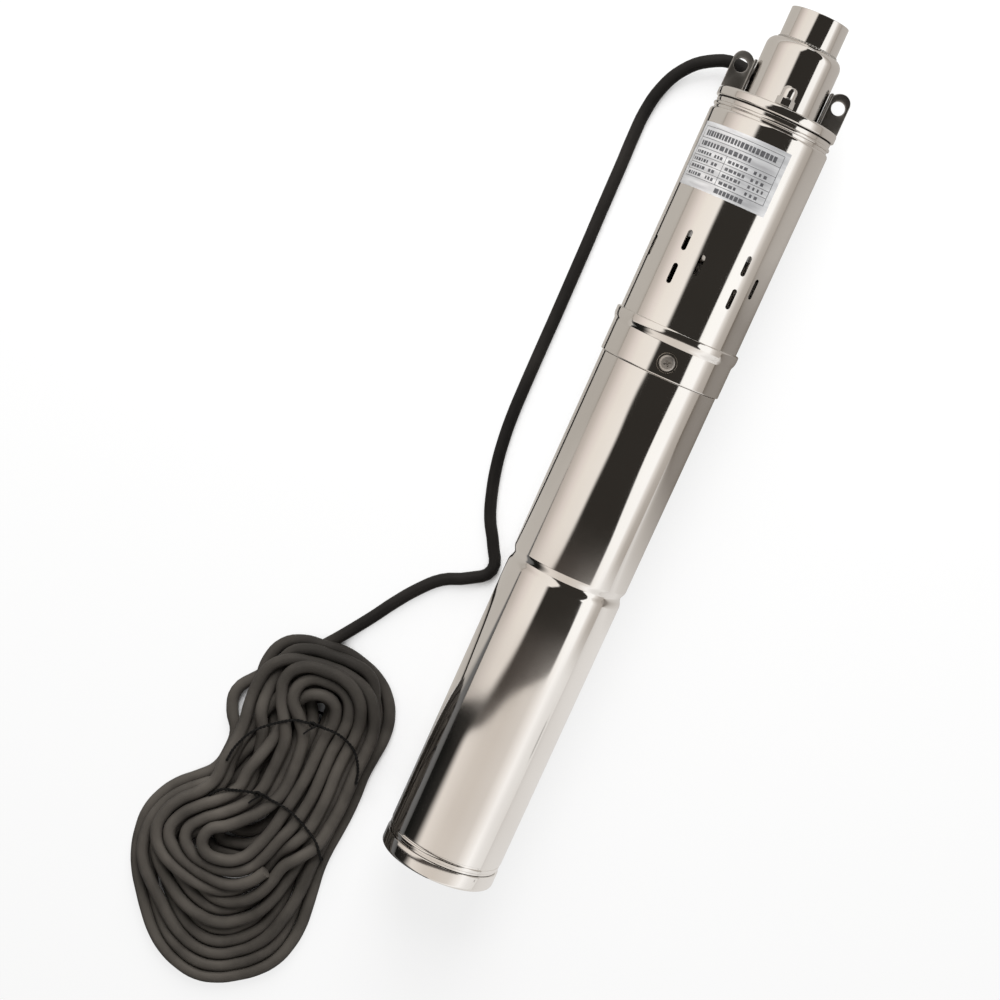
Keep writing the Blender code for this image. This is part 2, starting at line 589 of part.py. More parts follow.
def neck_pieces(axis, materials):
    """Gasket, and the grooved ring that joins the head to the pump barrel."""
    bore = SLEEVE_RADIUS + FIT + NECK_CLEARANCE
    groove = FLANGE_RADIUS - NECK_DEPTH
    bottom = PUMP_BARREL_TOP + FIT
    gasket_top = FLANGE_BOTTOM - FIT
    gasket_bottom = gasket_top - GASKET
    inner_holes = [(ROD_RADIUS + FIT, turn) for turn in ROD_AZIMUTHS.values()]
    inner_holes.append((CORD_RADIUS + FIT, GLAND_AZIMUTH))
    rim = groove - FIT
    profile = [(bore, gasket_bottom), (rim, gasket_bottom), (rim, gasket_top), (bore, gasket_top)]
    gasket = add_object("head_gasket", revolve(profile), materials["rubber"], axis)
    ring_top = gasket_bottom - FIT
    bead = bottom + NECK_BEAD_HEIGHT
    crest = FLANGE_RADIUS - EDGE - NECK_BEAD
    spigot, spigot_bottom = PUMP_BORE - FIT, bottom - NECK_SPIGOT
    profile = [(bore, ring_top), (groove, ring_top), (groove, bead + 1.5 * NECK_BEAD)]
    profile += arc(crest, bead, NECK_BEAD, 60, -60, 1)
    profile += [(groove, bead - 1.5 * NECK_BEAD), (groove, bottom), (spigot, bottom), (spigot, spigot_bottom)]
    profile += [(bore, spigot_bottom)]
    ring = add_object("neck_ring", revolve(profile), materials["polished"], axis)
    for piece, low, high in ((gasket, gasket_bottom, gasket_top), (ring, spigot_bottom, ring_top)):
        cutters = []
        for radius, turn in inner_holes:
            cutters.append(drill(radius, turn, ROD_CIRCLE, low - OVERCUT, high + OVERCUT))
        combine(piece, merge(cutters), "DIFFERENCE", piece.name + "_holes", axis)


def inlet_slot(azimuth, z):
    """A cutter with round ends, long along the axis, through the barrel wall."""
    half = SLOT_LENGTH / 2 - SLOT_WIDTH / 2
    outline = arc(0, half, SLOT_WIDTH / 2, 0, 180, 3) + arc(0, -half, SLOT_WIDTH / 2, 180, 360, 3)
    turn = radians(azimuth)
    outward = Vector((sin(turn), -cos(turn), 0))
    sideways = Vector((cos(turn), sin(turn), 0))
    rings = []
    for radius in (PUMP_BORE - 2 * OVERCUT, PUMP_RADIUS + 2 * OVERCUT):
        rings.append([outward * radius + sideways * x + Vector((0, 0, z + y)) for x, y in outline])
    return loft(rings)


def pump_barrel(axis, materials):
    """The slotted inlet barrel; its upper edge is rolled in over the neck ring."""
    shoulder = PUMP_BARREL_SHOULDER
    profile = [(PUMP_BORE, PUMP_BARREL_BOTTOM), (PUMP_RADIUS, PUMP_BARREL_BOTTOM)]
    profile += arc(PUMP_RADIUS - shoulder, PUMP_BARREL_TOP - shoulder, shoulder, 0, 70, 2)
    profile += [(PUMP_BORE, PUMP_BARREL_TOP)]
    barrel = add_object("pump_barrel", revolve(profile), materials["polished"], axis)
    cutters = []
    for group in range(SLOT_GROUPS):
        azimuth = SLOT_AZIMUTH + group * 360 / SLOT_GROUPS
        cutters.append(inlet_slot(azimuth, SLOT_MIDDLE + SLOT_ROW_PITCH))
        cutters.append(inlet_slot(azimuth + SLOT_STAGGER, SLOT_MIDDLE))
        cutters.append(inlet_slot(azimuth, SLOT_MIDDLE - SLOT_ROW_PITCH))
    combine(barrel, merge(cutters), "DIFFERENCE", "inlet_slots", axis)


def joint_collar(axis, materials):
    """The flared collar between pump barrel and motor, with three screws into the top cover."""
    band_bore = BELL_RADIUS + FIT
    bead_bore = PUMP_RADIUS + FIT
    pocket_top = PUMP_BARREL_BOTTOM - FIT
    profile = [(band_bore, COLLAR_BOTTOM), (BAND_RADIUS - EDGE, COLLAR_BOTTOM)]
    profile += [(BAND_RADIUS, COLLAR_BOTTOM + EDGE), (BAND_RADIUS, BEAD_BOTTOM - BEAD_FLARE), (BEAD_RADIUS - EDGE, BEAD_BOTTOM)]
    profile += [(BEAD_RADIUS, BEAD_BOTTOM + 2 * BEAD_FLARE)]
    profile += arc(BEAD_RADIUS - BEAD_EDGE, COLLAR_TOP - BEAD_EDGE, BEAD_EDGE, 0, 90, 2)
    profile += [(bead_bore, COLLAR_TOP), (bead_bore, pocket_top), (band_bore, pocket_top)]
    collar = add_object("joint_collar", revolve(profile), materials["polished"], axis)
    middle = COLLAR_BOTTOM + SCREW_ABOVE_COLLAR_FOOT
    pocket = [(SCREW_POCKET_RADIUS, SCREW_SEAT, BAND_RADIUS + 2 * OVERCUT)]
    tools = [radial_peg(azimuth, middle, pocket, INNER_SEGMENTS) for azimuth in SCREW_AZIMUTHS.values()]
    combine(collar, merge(tools), "DIFFERENCE", "screw_pockets", axis)
    shank = [(SCREW_SHANK + FIT, BARREL_BORE - 4 * OVERCUT, BAND_RADIUS)]
    tools = [radial_peg(azimuth, middle, shank, 8) for azimuth in SCREW_AZIMUTHS.values()]
    combine(collar, merge(tools), "DIFFERENCE", "screw_holes", axis)


def radial_peg(azimuth, z, steps, segments):
    """A stepped cylinder that points outward; steps are (radius, from, to) along its own axis."""
    turn = radians(azimuth)
    outward = Vector((sin(turn), -cos(turn), 0))
    sideways = Vector((cos(turn), sin(turn), 0))
    up = Vector((0, 0, 1))
    rings = []
    for radius, start, end in steps:
        for reach in (start, end):
            ring = []
            for index in range(segments):
                angle = 2 * pi * index / segments
                point = outward * reach + sideways * (radius * cos(angle))
                ring.append(point + up * (z + radius * sin(angle)))
            rings.append(ring)
    return loft(rings)


def collar_screws(axis, materials):
    """Pan-head screws, each seated in a round pocket of the collar."""
    middle = COLLAR_BOTTOM + SCREW_ABOVE_COLLAR_FOOT
    under = SCREW_SEAT + FIT
    for name, azimuth in SCREW_AZIMUTHS.items():
        crown = under + SCREW_HEAD_HEIGHT
        steps = [(SCREW_SHANK, SCREW_SEAT - SCREW_DEPTH, under), (SCREW_HEAD_RADIUS, under, crown - EDGE),
                 (SCREW_HEAD_RADIUS - 2 * EDGE, crown, crown)]
        shape = radial_peg(azimuth, middle, steps, 12)
        add_object(name, shape, materials["polished"], axis)


def screw_turn(z):
    """Direction of the screw's round section about the screw's own axis at a height."""
    return 2 * pi * (z - STATOR_BOTTOM) / SCREW_PITCH


def stator(axis, materials):
    """Steel sleeve with the bonded rubber; the cavity is a two-lobe section twisted along Z."""
    sleeve_bore = SLEEVE_RADIUS - SLEEVE_WALL
    add_object("stator_sleeve", revolve([
        (sleeve_bore, STATOR_BOTTOM), (SLEEVE_RADIUS, STATOR_BOTTOM), (SLEEVE_RADIUS, STATOR_TOP),
        (sleeve_bore, STATOR_TOP)]), materials["satin"], axis)
    cavity_radius = SCREW_RADIUS + RUNNING_GAP
    low, high = STATOR_BOTTOM + FIT, STATOR_TOP - FIT
    sections = int(round((high - low) / SCREW_PITCH * 360 / TWIST_STEP))
    rings = []
    for section in range(sections + 1):
        z = low + (high - low) * section / sections
        turn = screw_turn(z) / 2
        along = Vector((cos(turn), sin(turn), 0))
        ring = []
        for index in range(2 * LOBE_SEGMENTS):
            lobe = 1 if index < LOBE_SEGMENTS else -1
            angle = -pi / 2 + pi * (index % LOBE_SEGMENTS) / (LOBE_SEGMENTS - 1) + (0 if lobe > 0 else pi)
            across = lobe * 2 * ECCENTRICITY + cavity_radius * cos(angle)
            point = along * across + Vector((-along.y, along.x, 0)) * (cavity_radius * sin(angle))
            ring.append((point.x, point.y, z))
        rings.append(ring)
    cavity = loft(rings)
    for face in [face for face in cavity.faces if len(face.verts) == 2 * LOBE_SEGMENTS]:
        cavity.faces.remove(face)
    outer = sleeve_bore - FIT
    ends = []
    for ring_z, first in ((low, 0), (high, 2 * LOBE_SEGMENTS * sections)):
        cavity.verts.ensure_lookup_table()
        mouth = [cavity.verts[first + index] for index in range(2 * LOBE_SEGMENTS)]
        rim = []
        for vert in mouth:
            direction = Vector((vert.co.x, vert.co.y, 0)).normalized()
            rim.append(cavity.verts.new((direction.x * outer, direction.y * outer, ring_z)))
        for index in range(2 * LOBE_SEGMENTS):
            after = (index + 1) % (2 * LOBE_SEGMENTS)
            cavity.faces.new((mouth[index], mouth[after], rim[after], rim[index]))
        ends.append(rim)
    # The outer skin joins the two rims; the upper one is read from the same azimuth as the lower
    lower, upper = ends
    shift = min(range(2 * LOBE_SEGMENTS), key=lambda k: (upper[k].co.xy - lower[0].co.xy).length)
    for index in range(2 * LOBE_SEGMENTS):
        after = (index + 1) % (2 * LOBE_SEGMENTS)
        cavity.faces.new((lower[index], lower[after], upper[(after + shift) % (2 * LOBE_SEGMENTS)],
                          upper[(index + shift) % (2 * LOBE_SEGMENTS)]))
    add_object("stator_rubber", cavity, materials["rubber"], axis, crease=50)


def screw_rotor(axis, materials):
    """The steel screw on its own axis, with the neck and hub that hold the coupling ball."""
    count = SCREW_SEGMENTS
    top = STATOR_TOP + SCREW_OVERRUN
    steps = int(round((top - STATOR_BOTTOM) / SCREW_PITCH * 360 / TWIST_STEP))
    rings = [circle(SCREW_RADIUS - EDGE, top + EDGE, count, screw_offset(top))]
    for step in range(steps + 1):
        z = top + (STATOR_BOTTOM - top) * step / steps
        rings.append(circle(SCREW_RADIUS, z, count, screw_offset(z)))
    neck = STATOR_BOTTOM - SCREW_NECK
    hub_bottom = neck - SCREW_HUB_LENGTH
    rings.append(circle(SCREW_RADIUS, neck, count))
    rings.append(circle(SCREW_RADIUS, hub_bottom + EDGE, count))
    rings.append(circle(SCREW_RADIUS - EDGE, hub_bottom, count))
    rings += socket_rings(UPPER_BALL_Z, -1, count)
    screw = add_object("screw_rotor", loft(rings), materials["polished"], axis)
    screw.location = (ECCENTRICITY, 0, 0)


def screw_offset(z):
    """Middle of the screw's round section at a height, from the screw's own axis."""
    angle = screw_turn(z)
    return (ECCENTRICITY * cos(angle), ECCENTRICITY * sin(angle))


def socket_rings(ball_z, side, count):
    """Rings of a ball socket whose mouth faces up (side 1) or down (side -1), ending in a pole."""
    radius = BALL_RADIUS + BALL_GAP
    mouth = SOCKET_MOUTH
    rings = [circle(sqrt(radius ** 2 - mouth ** 2), ball_z + side * mouth, count)]
    for height in (0.0, -0.5, -0.85):
        rings.append(circle(radius * sqrt(1 - height ** 2), ball_z + side * radius * height, count))
    rings.append([(0, 0, ball_z - side * radius)])
    return rings


def coupling_rod(axis, materials):
    """A rod with a ball at each end; it leans from the pump axis to the screw's axis."""
    start = Vector((0, 0, LOWER_BALL_Z))
    end = Vector((ECCENTRICITY, 0, UPPER_BALL_Z))
    length = (end - start).length
    neck = sqrt(BALL_RADIUS ** 2 - ROD_STEM_RADIUS ** 2)
    profile = [(0, -BALL_RADIUS)]
    for height in (-0.75, -0.2, 0.35):
        profile.append((BALL_RADIUS * sqrt(1 - height ** 2), BALL_RADIUS * height))
    profile += [(ROD_STEM_RADIUS, neck), (ROD_STEM_RADIUS, length - neck)]
    for height in (-0.35, 0.2, 0.75):
        profile.append((BALL_RADIUS * sqrt(1 - height ** 2), length + BALL_RADIUS * height))
    profile.append((0, length + BALL_RADIUS))
    rod = add_object("coupling_rod", revolve(profile, 16), materials["satin"], axis)
    rod.location = start
    rod.rotation_euler = (end - start).to_track_quat("Z", "Y").to_euler()


def shaft_coupling(axis, materials):
    """The steel coupling on the motor shaft, with a socket for the rod's lower ball."""
    count = INNER_SEGMENTS
    top = LOWER_BALL_Z + SOCKET_MOUTH
    floor = COUPLING_BORE_TOP
    bottom = floor - COUPLING_GRIP
    bore = SHAFT_RADIUS + FIT
    rings = [[(0, 0, floor)], circle(bore, floor, count), circle(bore, bottom, count),
             circle(COUPLING_RADIUS, bottom, count), circle(COUPLING_RADIUS, top - EDGE, count),
             circle(COUPLING_RADIUS - EDGE, top, count)]
    rings += socket_rings(LOWER_BALL_Z, 1, count)
    add_object("shaft_coupling", loft(rings), materials["satin"], axis)


def stator_support(axis, materials):
    """The ring under the stator, carried on the spacer tubes."""
    shelf = STATOR_BOTTOM - FIT
    top = shelf + SUPPORT_LIP
    bottom = top - SUPPORT_THICKNESS
    rim = PUMP_BORE - FIT
    bore = SLEEVE_RADIUS - SUPPORT_SHELF
    seat = SLEEVE_RADIUS + FIT
    profile = [(bore, bottom), (rim, bottom), (rim, top), (seat, top), (seat, shelf), (bore, shelf)]
    ring = add_object("stator_support", revolve(profile), materials["cast"], axis)
    wanted = [(ROD_RADIUS + FIT, turn) for turn in ROD_AZIMUTHS.values()]
    wanted.append((CORD_RADIUS + FIT, GLAND_AZIMUTH))
    wanted += [(SUPPORT_PORT, turn) for turn in SUPPORT_PORTS]
    holes = []
    for radius, turn in wanted:
        holes.append(drill(radius, turn, ROD_CIRCLE, bottom - OVERCUT, top + OVERCUT))
    combine(ring, merge(holes), "DIFFERENCE", "support_holes", axis)


def upper_end_bell(axis, materials):
    """The motor's top cover: seal recess above, bearing seat below, screw and rod threads."""
    upper = BELL_RADIUS
    lower = BARREL_BORE - FIT
    shaft = SHAFT_RADIUS + SHAFT_CLEARANCE
    seal = SEAL_RADIUS + FIT
    seat = BEARING_RADIUS + FIT
    seat_top = BELL_BOTTOM + BEARING_WIDTH + BEARING_SHOULDER
    groove = O_RING_RADIUS * 2 - O_RING_SQUEEZE
    ring_z = BARREL_TOP - JOINT_O_RING_DEPTH
    profile = [(shaft, seat_top), (seat, seat_top), (seat, BELL_BOTTOM), (lower, BELL_BOTTOM)]
    profile += [(lower, ring_z - O_RING_RADIUS - FIT), (lower - groove, ring_z - O_RING_RADIUS - FIT)]
    profile += [(lower - groove, ring_z + O_RING_RADIUS + FIT), (lower, ring_z + O_RING_RADIUS + FIT)]
    profile += [(lower, COLLAR_BOTTOM), (upper, COLLAR_BOTTOM), (upper, BELL_TOP - EDGE)]
    profile += [(upper - EDGE, BELL_TOP)]
    profile += [(seal, BELL_TOP), (seal, BELL_TOP - SEAL_RECESS), (shaft, BELL_TOP - SEAL_RECESS)]
    bell = add_object("upper_end_bell", revolve(profile), materials["cast"], axis)
    high = BELL_TOP + OVERCUT
    rod_hole_floor = BELL_TOP - ROD_GRIP - OVERCUT
    tools = [drill(ROD_RADIUS + FIT, turn, ROD_CIRCLE, rod_hole_floor, high) for turn in ROD_AZIMUTHS.values()]
    tools.append(drill(CORD_RADIUS + FIT, GLAND_AZIMUTH, ROD_CIRCLE, BELL_TOP - LEAD_DEPTH - OVERCUT, high))
    middle = COLLAR_BOTTOM + SCREW_ABOVE_COLLAR_FOOT
    thread = [(SCREW_SHANK + FIT, SCREW_SEAT - SCREW_DEPTH - FIT, upper + 2 * OVERCUT)]
    for azimuth in SCREW_AZIMUTHS.values():
        tools.append(radial_peg(azimuth, middle, thread, 8))
    combine(bell, merge(tools), "DIFFERENCE", "bell_holes", axis)
    add_o_ring("joint_o_ring", lower - groove, ring_z, axis, materials)
    return seat_top


def add_o_ring(name, groove_floor, z, axis, materials):
    """A rubber ring with a round section, squeezed between its groove and the barrel."""
    section = O_RING_RADIUS - O_RING_SQUEEZE / 2
    profile = arc(groove_floor + FIT / 2 + section, z, section, 0, 288, 4)
    add_object(name, revolve(profile), materials["rubber"], axis)


def mechanical_seal(axis, materials):
    """Fixed seat, turning head, its spring, and the slinger that keeps sand off."""
    recess_floor = BELL_TOP - SEAL_RECESS
    shaft = SHAFT_RADIUS + FIT
    outer = SEAL_RADIUS - SEAL_STEP
    seat_bore, seat_low = SHAFT_RADIUS + SHAFT_CLEARANCE, recess_floor + FIT
    seat_top = seat_low + SEAL_SEAT_HEIGHT
    profile = [(seat_bore, seat_low), (SEAL_RADIUS, seat_low), (SEAL_RADIUS, seat_top - 1 * MM),
               (outer, seat_top), (seat_bore, seat_top)]
    add_object("seal_seat", revolve(profile, INNER_SEGMENTS), materials["seal"], axis)
    head_low = seat_top + FIT
    head_top = head_low + SEAL_HEAD_HEIGHT
    profile = [(shaft, head_low), (outer - 1 * MM, head_low), (outer, head_low + 1.5 * MM),
               (outer, head_top), (shaft, head_top)]
    add_object("seal_head", revolve(profile, INNER_SEGMENTS), materials["satin"], axis)
    wire = SPRING_WIRE
    slinger_low = BELL_TOP - 1.4 * MM
    spring_low, spring_top = head_top + FIT + wire, slinger_low - FIT - wire
    rings = []
    turns, steps = SPRING_TURNS, 10
    for step in range(turns * steps + 1):
        share = step / (turns * steps)
        angle = 2 * pi * turns * share
        out = Vector((cos(angle), sin(angle), 0))
        middle = out * (outer - 2 * wire) + Vector((0, 0, spring_low + (spring_top - spring_low) * share))
        rings.append(section_ring(middle, out, wire))
    add_object("seal_spring", loft(rings), materials["satin"], axis)
    brim, hem = SLINGER_RADIUS, SLINGER_RADIUS - 2 * MM
    top = BELL_TOP + SLINGER_HEIGHT
    profile = [(shaft, slinger_low), (outer, slinger_low), (outer, BELL_TOP + 1.6 * MM),
               (hem, BELL_TOP + 2.6 * MM), (hem, BELL_TOP + 1.2 * MM), (brim, BELL_TOP + 1.2 * MM), (brim, BELL_TOP + 3.2 * MM),
               (outer, top), (shaft, top)]
    add_object("sand_slinger", revolve(profile, INNER_SEGMENTS), materials["rubber"], axis)


def section_ring(middle, outward, radius, count=5):
    """Points round a wire's section that stands in the plane of the axis and a radius."""
    ring = []
    for index in range(count):
        angle = 2 * pi * index / count
        ring.append(middle + outward * (radius * cos(angle)) + Vector((0, 0, radius * sin(angle))))
    return ring


def ball_bearing(prefix, low, axis, materials):
    """Two races, and a ring of balls in their cage drawn as one beaded ring."""
    high = low + BEARING_WIDTH
    middle = low + BEARING_WIDTH / 2
    bore = SHAFT_RADIUS + FIT
    pitch = (bore + BEARING_RADIUS) / 2
    inner_face, outer_face = bore + RACE_THICKNESS, BEARING_RADIUS - RACE_THICKNESS
    track = BALL_RING_BALL + 1.33 * FIT
    reach = sqrt(track ** 2 - (pitch - inner_face) ** 2) if track > pitch - inner_face else 0.0
    inner = [(bore, low), (inner_face, low), (inner_face, middle - reach), (pitch - track, middle),
             (inner_face, middle + reach), (inner_face, high), (bore, high)]
    outer = [(BEARING_RADIUS, high), (outer_face, high), (outer_face, middle + reach),
             (pitch + track, middle), (outer_face, middle - reach), (outer_face, low), (BEARING_RADIUS, low)]
    add_object(prefix + "_bearing_inner", revolve(inner, INNER_SEGMENTS), materials["satin"], axis)
    add_object(prefix + "_bearing_outer", revolve(outer, INNER_SEGMENTS), materials["satin"], axis)
    rings = []
    per_ball = 4
    step = 2 * pi / (BALLS * per_ball)
    for index in range(BALLS * per_ball):
        from_ball = abs((index + per_ball / 2) % per_ball - per_ball / 2) * pitch * step
        thick = max(CAGE_RADIUS, sqrt(max(BALL_RING_BALL ** 2 - from_ball ** 2, 0)))
        out = Vector((cos(index * step), sin(index * step), 0))
        rings.append(section_ring(out * pitch + Vector((0, 0, middle)), out, thick))
    add_object(prefix + "_ball_ring", loft(rings, closed=True), materials["satin"], axis)


def motor_shaft(axis, materials):
    """The shaft, from the electronics side up into the coupling."""
    low, top = CARRIER_BOTTOM + SHAFT_TAIL, COUPLING_BORE_TOP - FIT
    profile = [(0, low), (SHAFT_RADIUS - EDGE, low), (SHAFT_RADIUS, low + EDGE), (SHAFT_RADIUS, top - EDGE),
               (SHAFT_RADIUS - EDGE, top), (0, top)]
    add_object("motor_shaft", revolve(profile, 20), materials["satin"], axis)


def motor_core(axis, materials):
    """Laminated stator with open slots, end turns, and the magnet rotor."""
    outer = BARREL_BORE - FIT
    outline = [(x, y) for x, y, z in circle(outer, 0, SEGMENTS)]
    inner = []
    half_mouth, half_slot = radians(SLOT_MOUTH_HALF), radians(SLOT_BODY_HALF)
    tip, neck, depth = CORE_BORE + CORE_TIP, CORE_BORE + 2 * CORE_TIP, outer - CORE_YOKE
    slot = [(-half_mouth, CORE_BORE), (-half_mouth, tip), (-half_slot, neck), (-half_slot, depth),
            (half_slot, depth), (half_slot, neck), (half_mouth, tip), (half_mouth, CORE_BORE),
            (pi / CORE_SLOTS, CORE_BORE)]
    for index in range(CORE_SLOTS):
        centre = 2 * pi * (index + 0.5) / CORE_SLOTS
        for turn, radius in slot:
            inner.append((radius * cos(centre + turn), radius * sin(centre + turn)))
    prism = ring_prism(outline, inner, CORE_BOTTOM, CORE_TOP)
    add_object("stator_core", prism, materials["lamination"], axis, crease=20)
    slot_inner = CORE_BORE + 2.0 * MM
    slot_outer = outer - 1.5 * MM
    bulge = WINDING_BULGE
    for name, low, high in (("winding_upper", CORE_TOP + FIT, CORE_TOP + FIT + WINDING_HEIGHT),
                            ("winding_lower", CORE_BOTTOM - FIT - WINDING_HEIGHT, CORE_BOTTOM - FIT)):
        profile = [(slot_inner, low), (slot_outer - bulge, low), (slot_outer, low + bulge),
                   (slot_outer, high - bulge), (slot_outer - bulge, high), (slot_inner, high)]
        add_object(name, revolve(profile, INNER_SEGMENTS), materials["copper"], axis)
    low, high = CORE_BOTTOM - ROTOR_OVERHANG, CORE_TOP + ROTOR_OVERHANG
    bore = SHAFT_RADIUS + FIT
    add_object("rotor_core", revolve([(bore, low), (ROTOR_RADIUS, low), (ROTOR_RADIUS, high), (bore, high)],
                                     INNER_SEGMENTS), materials["lamination"], axis)
    magnet = ROTOR_RADIUS + FIT
    add_object("rotor_magnet", revolve([(magnet, low), (magnet + MAGNET_THICKNESS, low),
                                        (magnet + MAGNET_THICKNESS, high), (magnet, high)], INNER_SEGMENTS),
               materials["magnet"], axis)


def ring_prism(outline, inner, bottom, top):
    """A plate with an outer and an inner outline, raised between two heights."""
    shape = bmesh.new()
    loops = []
    for points in (outline, inner):
        verts = [shape.verts.new((x, y, bottom)) for x, y in points]
        loops += [shape.edges.new((verts[i], verts[(i + 1) % len(verts)])) for i in range(len(verts))]
    bmesh.ops.triangle_fill(shape, use_beauty=True, use_dissolve=False, edges=loops)
    raised = bmesh.ops.extrude_face_region(shape, geom=list(shape.faces), use_keep_orig=True)
    moved = [item for item in raised["geom"] if isinstance(item, bmesh.types.BMVert)]
    bmesh.ops.translate(shape, verts=moved, vec=(0, 0, top - bottom))
    return shape


def lower_end_bell(axis, materials):
    """The lower bearing carrier, held where the barrel is rolled into its groove."""
    rim = BARREL_BORE - FIT
    groove = rim - GROOVE_DEPTH
    low, high = CARRIER_BOTTOM, CARRIER_BOTTOM + CARRIER_THICKNESS
    half = GROOVE_WIDTH / 2 + 1.0 * MM
    flat = half - 1.5 * MM
    seat = BEARING_RADIUS + FIT
    floor = high - BEARING_WIDTH - 2 * MM
    shaft = SHAFT_RADIUS + SHAFT_CLEARANCE
    profile = [(shaft, low), (rim, low), (rim, GROOVE_MIDDLE - half), (groove, GROOVE_MIDDLE - flat),
               (groove, GROOVE_MIDDLE + flat), (rim, GROOVE_MIDDLE + half), (rim, high), (seat, high),
               (seat, floor), (shaft, floor)]
    add_object("lower_end_bell", revolve(profile), materials["cast"], axis)
    ball_bearing("lower", floor + FIT, axis, materials)


def motor_barrel(axis, materials):
    """The long motor barrel with its rolled groove."""
    half = GROOVE_WIDTH / 2
    steps = 4
    outer, inner = [(BODY_RADIUS, BARREL_BOTTOM)], []
    for step in range(steps + 1):
        share = step / steps
        dip = GROOVE_DEPTH * (1 - cos(2 * pi * share)) / 2
        z = GROOVE_MIDDLE - half + GROOVE_WIDTH * share
        outer.append((BODY_RADIUS - dip, z))
        inner.append((BARREL_BORE - dip, z))
    outer.append((BODY_RADIUS, BARREL_TOP))
    inner = [(BARREL_BORE, BARREL_BOTTOM)] + inner + [(BARREL_BORE, BARREL_TOP)]
    add_object("motor_barrel", revolve(outer + inner[::-1]), materials["polished"], axis)


def electronics(axis, materials):
    """The drive board on its half-round aluminium carrier, with two capacitors."""
    low, high = MODULE_BOTTOM, MODULE_TOP
    outer = BARREL_BORE - FIT
    inner = outer - MODULE_WALL
    web = MODULE_WEB
    steps = 10
    board_half = BOARD_WIDTH / 2
    recess = board_half + 2 * MM
    outline = [(outer * cos(pi * step / steps), outer * sin(pi * step / steps)) for step in range(steps + 1)]
    outline += [(-recess, 0.0), (-recess, web), (recess, web), (recess, 0.0)]
    floor = web + MODULE_WALL
    corner = asin(floor / inner)
    hollow = []
    for step in range(steps + 1):
        angle = corner + (pi - 2 * corner) * step / steps
        hollow.append((inner * cos(angle), inner * sin(angle)))
    add_object("module_carrier", ring_prism(outline, hollow, low, high), materials["cast"], axis)
    board_top = web - FIT
    board = [(-board_half, board_top), (-board_half, board_top - BOARD_THICKNESS),
             (board_half, board_top - BOARD_THICKNESS), (board_half, board_top)]
    plate = extrude_outline(board, low + BOARD_INSET, high - BOARD_INSET)
    add_object("drive_board", plate, materials["board"], axis)
    under = board_top - BOARD_THICKNESS - FIT
    for number, x in ((1, -CAPACITOR_SIDE), (2, CAPACITOR_SIDE)):
        centre = (x, under - CAPACITOR_RADIUS)
        base = low + CAPACITOR_HEIGHT
        rings = [circle(radius, z, INNER_SEGMENTS, centre, pi / INNER_SEGMENTS)
                 for radius, z in ((CAPACITOR_RADIUS - EDGE, base), (CAPACITOR_RADIUS, base + EDGE),
                                   (CAPACITOR_RADIUS, base + CAPACITOR_LENGTH))]
        add_object("capacitor_%d" % number, loft(rings), materials["sleeve"], axis)


def base_pieces(axis, materials):
    """Base ring with its spigot, diaphragm, O-ring and bottom cap."""
    rim = BARREL_BORE - FIT
    neck = BODY_RADIUS - SEAM_DEPTH
    flange = BODY_RADIUS - EDGE / 2
    foot = CAP_FLOOR + RING_FOOT
    hem = rim - CAP_WALL
    spigot_top = BARREL_BOTTOM + RING_SPIGOT
    groove = 2 * O_RING_RADIUS - O_RING_SQUEEZE
    ring_z = BARREL_BOTTOM + BASE_O_RING_DEPTH
    side = O_RING_RADIUS + FIT
    profile = [(RING_BORE, spigot_top), (rim, spigot_top), (rim, ring_z + side), (rim - groove, ring_z + side),
               (rim - groove, ring_z - side), (rim, ring_z - side), (rim, BARREL_BOTTOM - FIT),
               (neck, BARREL_BOTTOM - FIT), (neck, RING_TOP), (flange, RING_TOP), (flange, RING_BOTTOM),
               (neck, RING_BOTTOM), (neck, CAP_TOP + FIT), (hem, CAP_TOP + FIT), (hem, foot), (RING_BORE, foot)]
    add_object("base_ring", revolve(profile), materials["polished"], axis)
    add_o_ring("base_o_ring", rim - groove, ring_z, axis, materials)
    radius = BODY_RADIUS + CAP_PROUD
    bore = hem + FIT
    profile = [(BREATHER_RADIUS, CAP_FLOOR), (bore, CAP_FLOOR), (bore, CAP_TOP), (radius - EDGE, CAP_TOP),
               (radius, CAP_TOP - EDGE)]
    profile += arc(radius - CAP_EDGE, CAP_EDGE, CAP_EDGE, 0, -90, 4)
    profile += [(BREATHER_RADIUS, 0.0)]
    add_object("bottom_cap", revolve(profile), materials["polished"], axis)
    low = CAP_FLOOR + FIT
    clamped = foot - FIT
    rise = low + DIAPHRAGM_RISE
    roof = rise + DIAPHRAGM_WALL
    profile = [(0, rise), (RING_BORE - 8 * MM, rise), (RING_BORE - 3 * MM, low + 1.5 * MM),
               (RING_BORE - 3 * MM, low), (hem, low), (hem, clamped), (RING_BORE - 1 * MM, clamped),
               (RING_BORE - 6.5 * MM, roof), (0, roof)]
    add_object("pressure_diaphragm", revolve(profile), materials["rubber"], axis)


def internal_lead(axis, materials):
    """The cord's run inside the pump barrel, from the gland to the motor's top cover."""
    low, high = BELL_TOP - LEAD_DEPTH, FLANGE_BOTTOM + FIT
    lead = drill(CORD_RADIUS, GLAND_AZIMUTH, ROD_CIRCLE, low, high, 10)
    add_object("internal_lead", lead, materials["cord"], axis)


